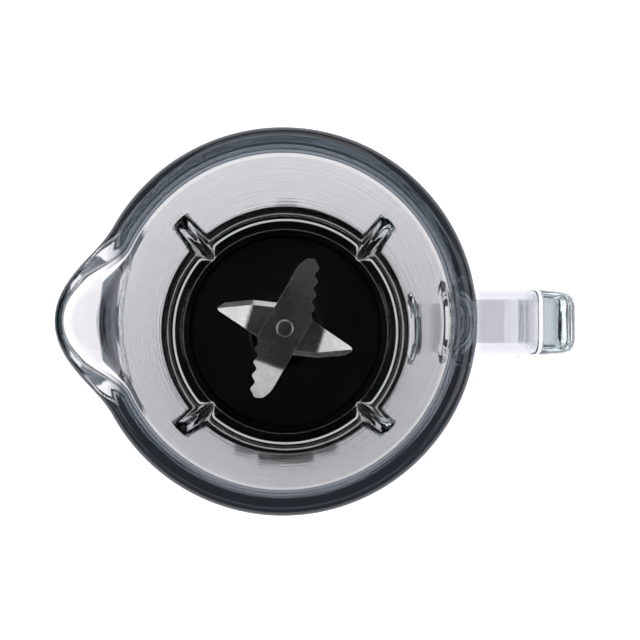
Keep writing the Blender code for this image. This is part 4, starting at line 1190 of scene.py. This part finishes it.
def make_seat(finishes):
    """The light plate with the well that the collar stands in, and the hole for the pin."""
    under, top = low("jug_seat").z, high("jug_seat").z
    well = COLLAR_LOW - 0.3 * MM
    corners = [
        (SEAT_HOLE_R, under, 0.3 * MM),
        (SEAT_R, under, 0.3 * MM),
        (SEAT_R, top, 0.8 * MM),
        (COLLAR_R + 1 * MM, top, 0.7 * MM),
        (COLLAR_R + 1 * MM, well, 0.6 * MM),
        (SEAT_HOLE_R, well, 0.5 * MM),
    ]
    seat = on_axis(add("seat_ring", lathed(corners, 5, 6 * MM, 160), finishes["trim_plastic"]))
    pin_low, pin_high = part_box("interlock_pin")
    middle = (pin_low + pin_high) / 2
    below = Matrix.Translation((middle.x, middle.y, under - 20 * MM))
    combined(seat, [cutter(rod(2.5 * MM, 0, 40 * MM, 32), below)], "DIFFERENCE")
    return show(seat, "base", "trim_plastic", "jug_seat")


def make_stage():
    """A plain white floor, evenly lit from within, past the picture on every side."""
    made = Finish("studio_floor", (0.8, 0.8, 0.8), 0.9)
    made.shader.inputs["Emission Color"].default_value = (*FLOOR_COLOUR, 1)
    made.shader.inputs["Emission Strength"].default_value = FLOOR_GLOW
    build = bmesh.new()
    add_box(build, (-FLOOR_HALF, -FLOOR_HALF, -FLOOR_THICK), (FLOOR_HALF, FLOOR_HALF, 0))
    add("studio_floor", build, made.material)


def soft_light(name, location, width, height, radiance):
    """A softbox that looks at the jug. Radiance is what a mirror would show of it."""
    data = bpy.data.lights.new(name, "AREA")
    data.shape = "RECTANGLE"
    data.size = width
    data.size_y = height
    data.energy = radiance * width * height * math.pi
    lamp = bpy.data.objects.new(name, data)
    lamp.location = location
    aim = Vector((AXIS.x, 0, 0.2)) - Vector(location)
    lamp.rotation_euler = aim.to_track_quat("-Z", "Y").to_euler()
    bpy.context.scene.collection.objects.link(lamp)


def make_world():
    """A nearly black sky, a little brighter towards the horizon."""
    world = bpy.data.worlds.new("studio")
    world.use_nodes = True
    tree = world.node_tree
    place = tree.nodes.new("ShaderNodeTexCoord")
    split = tree.nodes.new("ShaderNodeSeparateXYZ")
    fade = tree.nodes.new("ShaderNodeMapRange")
    fade.inputs["From Min"].default_value = 0.05
    fade.inputs["From Max"].default_value = 0.8
    fade.inputs["To Min"].default_value = WORLD_LOW
    fade.inputs["To Max"].default_value = WORLD_HIGH
    tree.links.new(place.outputs["Generated"], split.inputs["Vector"])
    tree.links.new(split.outputs["Z"], fade.inputs["Value"])
    tree.links.new(fade.outputs["Result"], tree.nodes["Background"].inputs["Strength"])
    bpy.context.scene.world = world


def make_lights():
    make_world()
    soft_light("left_box", (-0.95, 0.1, 1.25), 1.1, 1.0, 1.5)
    soft_light("right_box", (0.95, 0.0, 1.25), 1.0, 1.0, 1.4)
    soft_light("rear_box", (0.0, 1.15, 1.05), 1.2, 0.8, 1.3)


def make_camera():
    data = bpy.data.cameras.new("camera")
    data.lens = CAMERA_LENS
    data.sensor_width = CAMERA_SENSOR
    camera = bpy.data.objects.new("camera", data)
    place = Vector((AXIS.x + CAMERA_OFFSET.x, CAMERA_OFFSET.y, RIM_Z + CAMERA_HEIGHT))
    aim = Vector((AXIS.x + CAMERA_AIM.x, CAMERA_AIM.y, RIM_Z))
    back = (place - aim).normalized()
    right = Vector((0, 1, 0)).cross(back).normalized()
    up = back.cross(right)
    turn = Matrix((right, up, back)).transposed()
    camera.matrix_world = Matrix.Translation(place) @ turn.to_4x4()
    bpy.context.scene.collection.objects.link(camera)
    bpy.context.scene.camera = camera


def set_view():
    scene = bpy.context.scene
    scene.view_settings.view_transform = "Standard"
    scene.cycles.max_bounces = 40
    scene.cycles.transmission_bounces = 40
    scene.cycles.glossy_bounces = 12
    scene.cycles.transparent_max_bounces = 16


make_camera()
make_lights()
make_stage()
set_view()
finishes = make_finishes()
dress_nodes(finishes)
make_jug(finishes)
make_collar(finishes)
make_holder(finishes)
make_seal(finishes)
make_blades(finishes)
make_seat(finishes)
make_housing(finishes)
make_panel(finishes)
make_knob(finishes)
make_button(finishes)
make_spring(finishes)
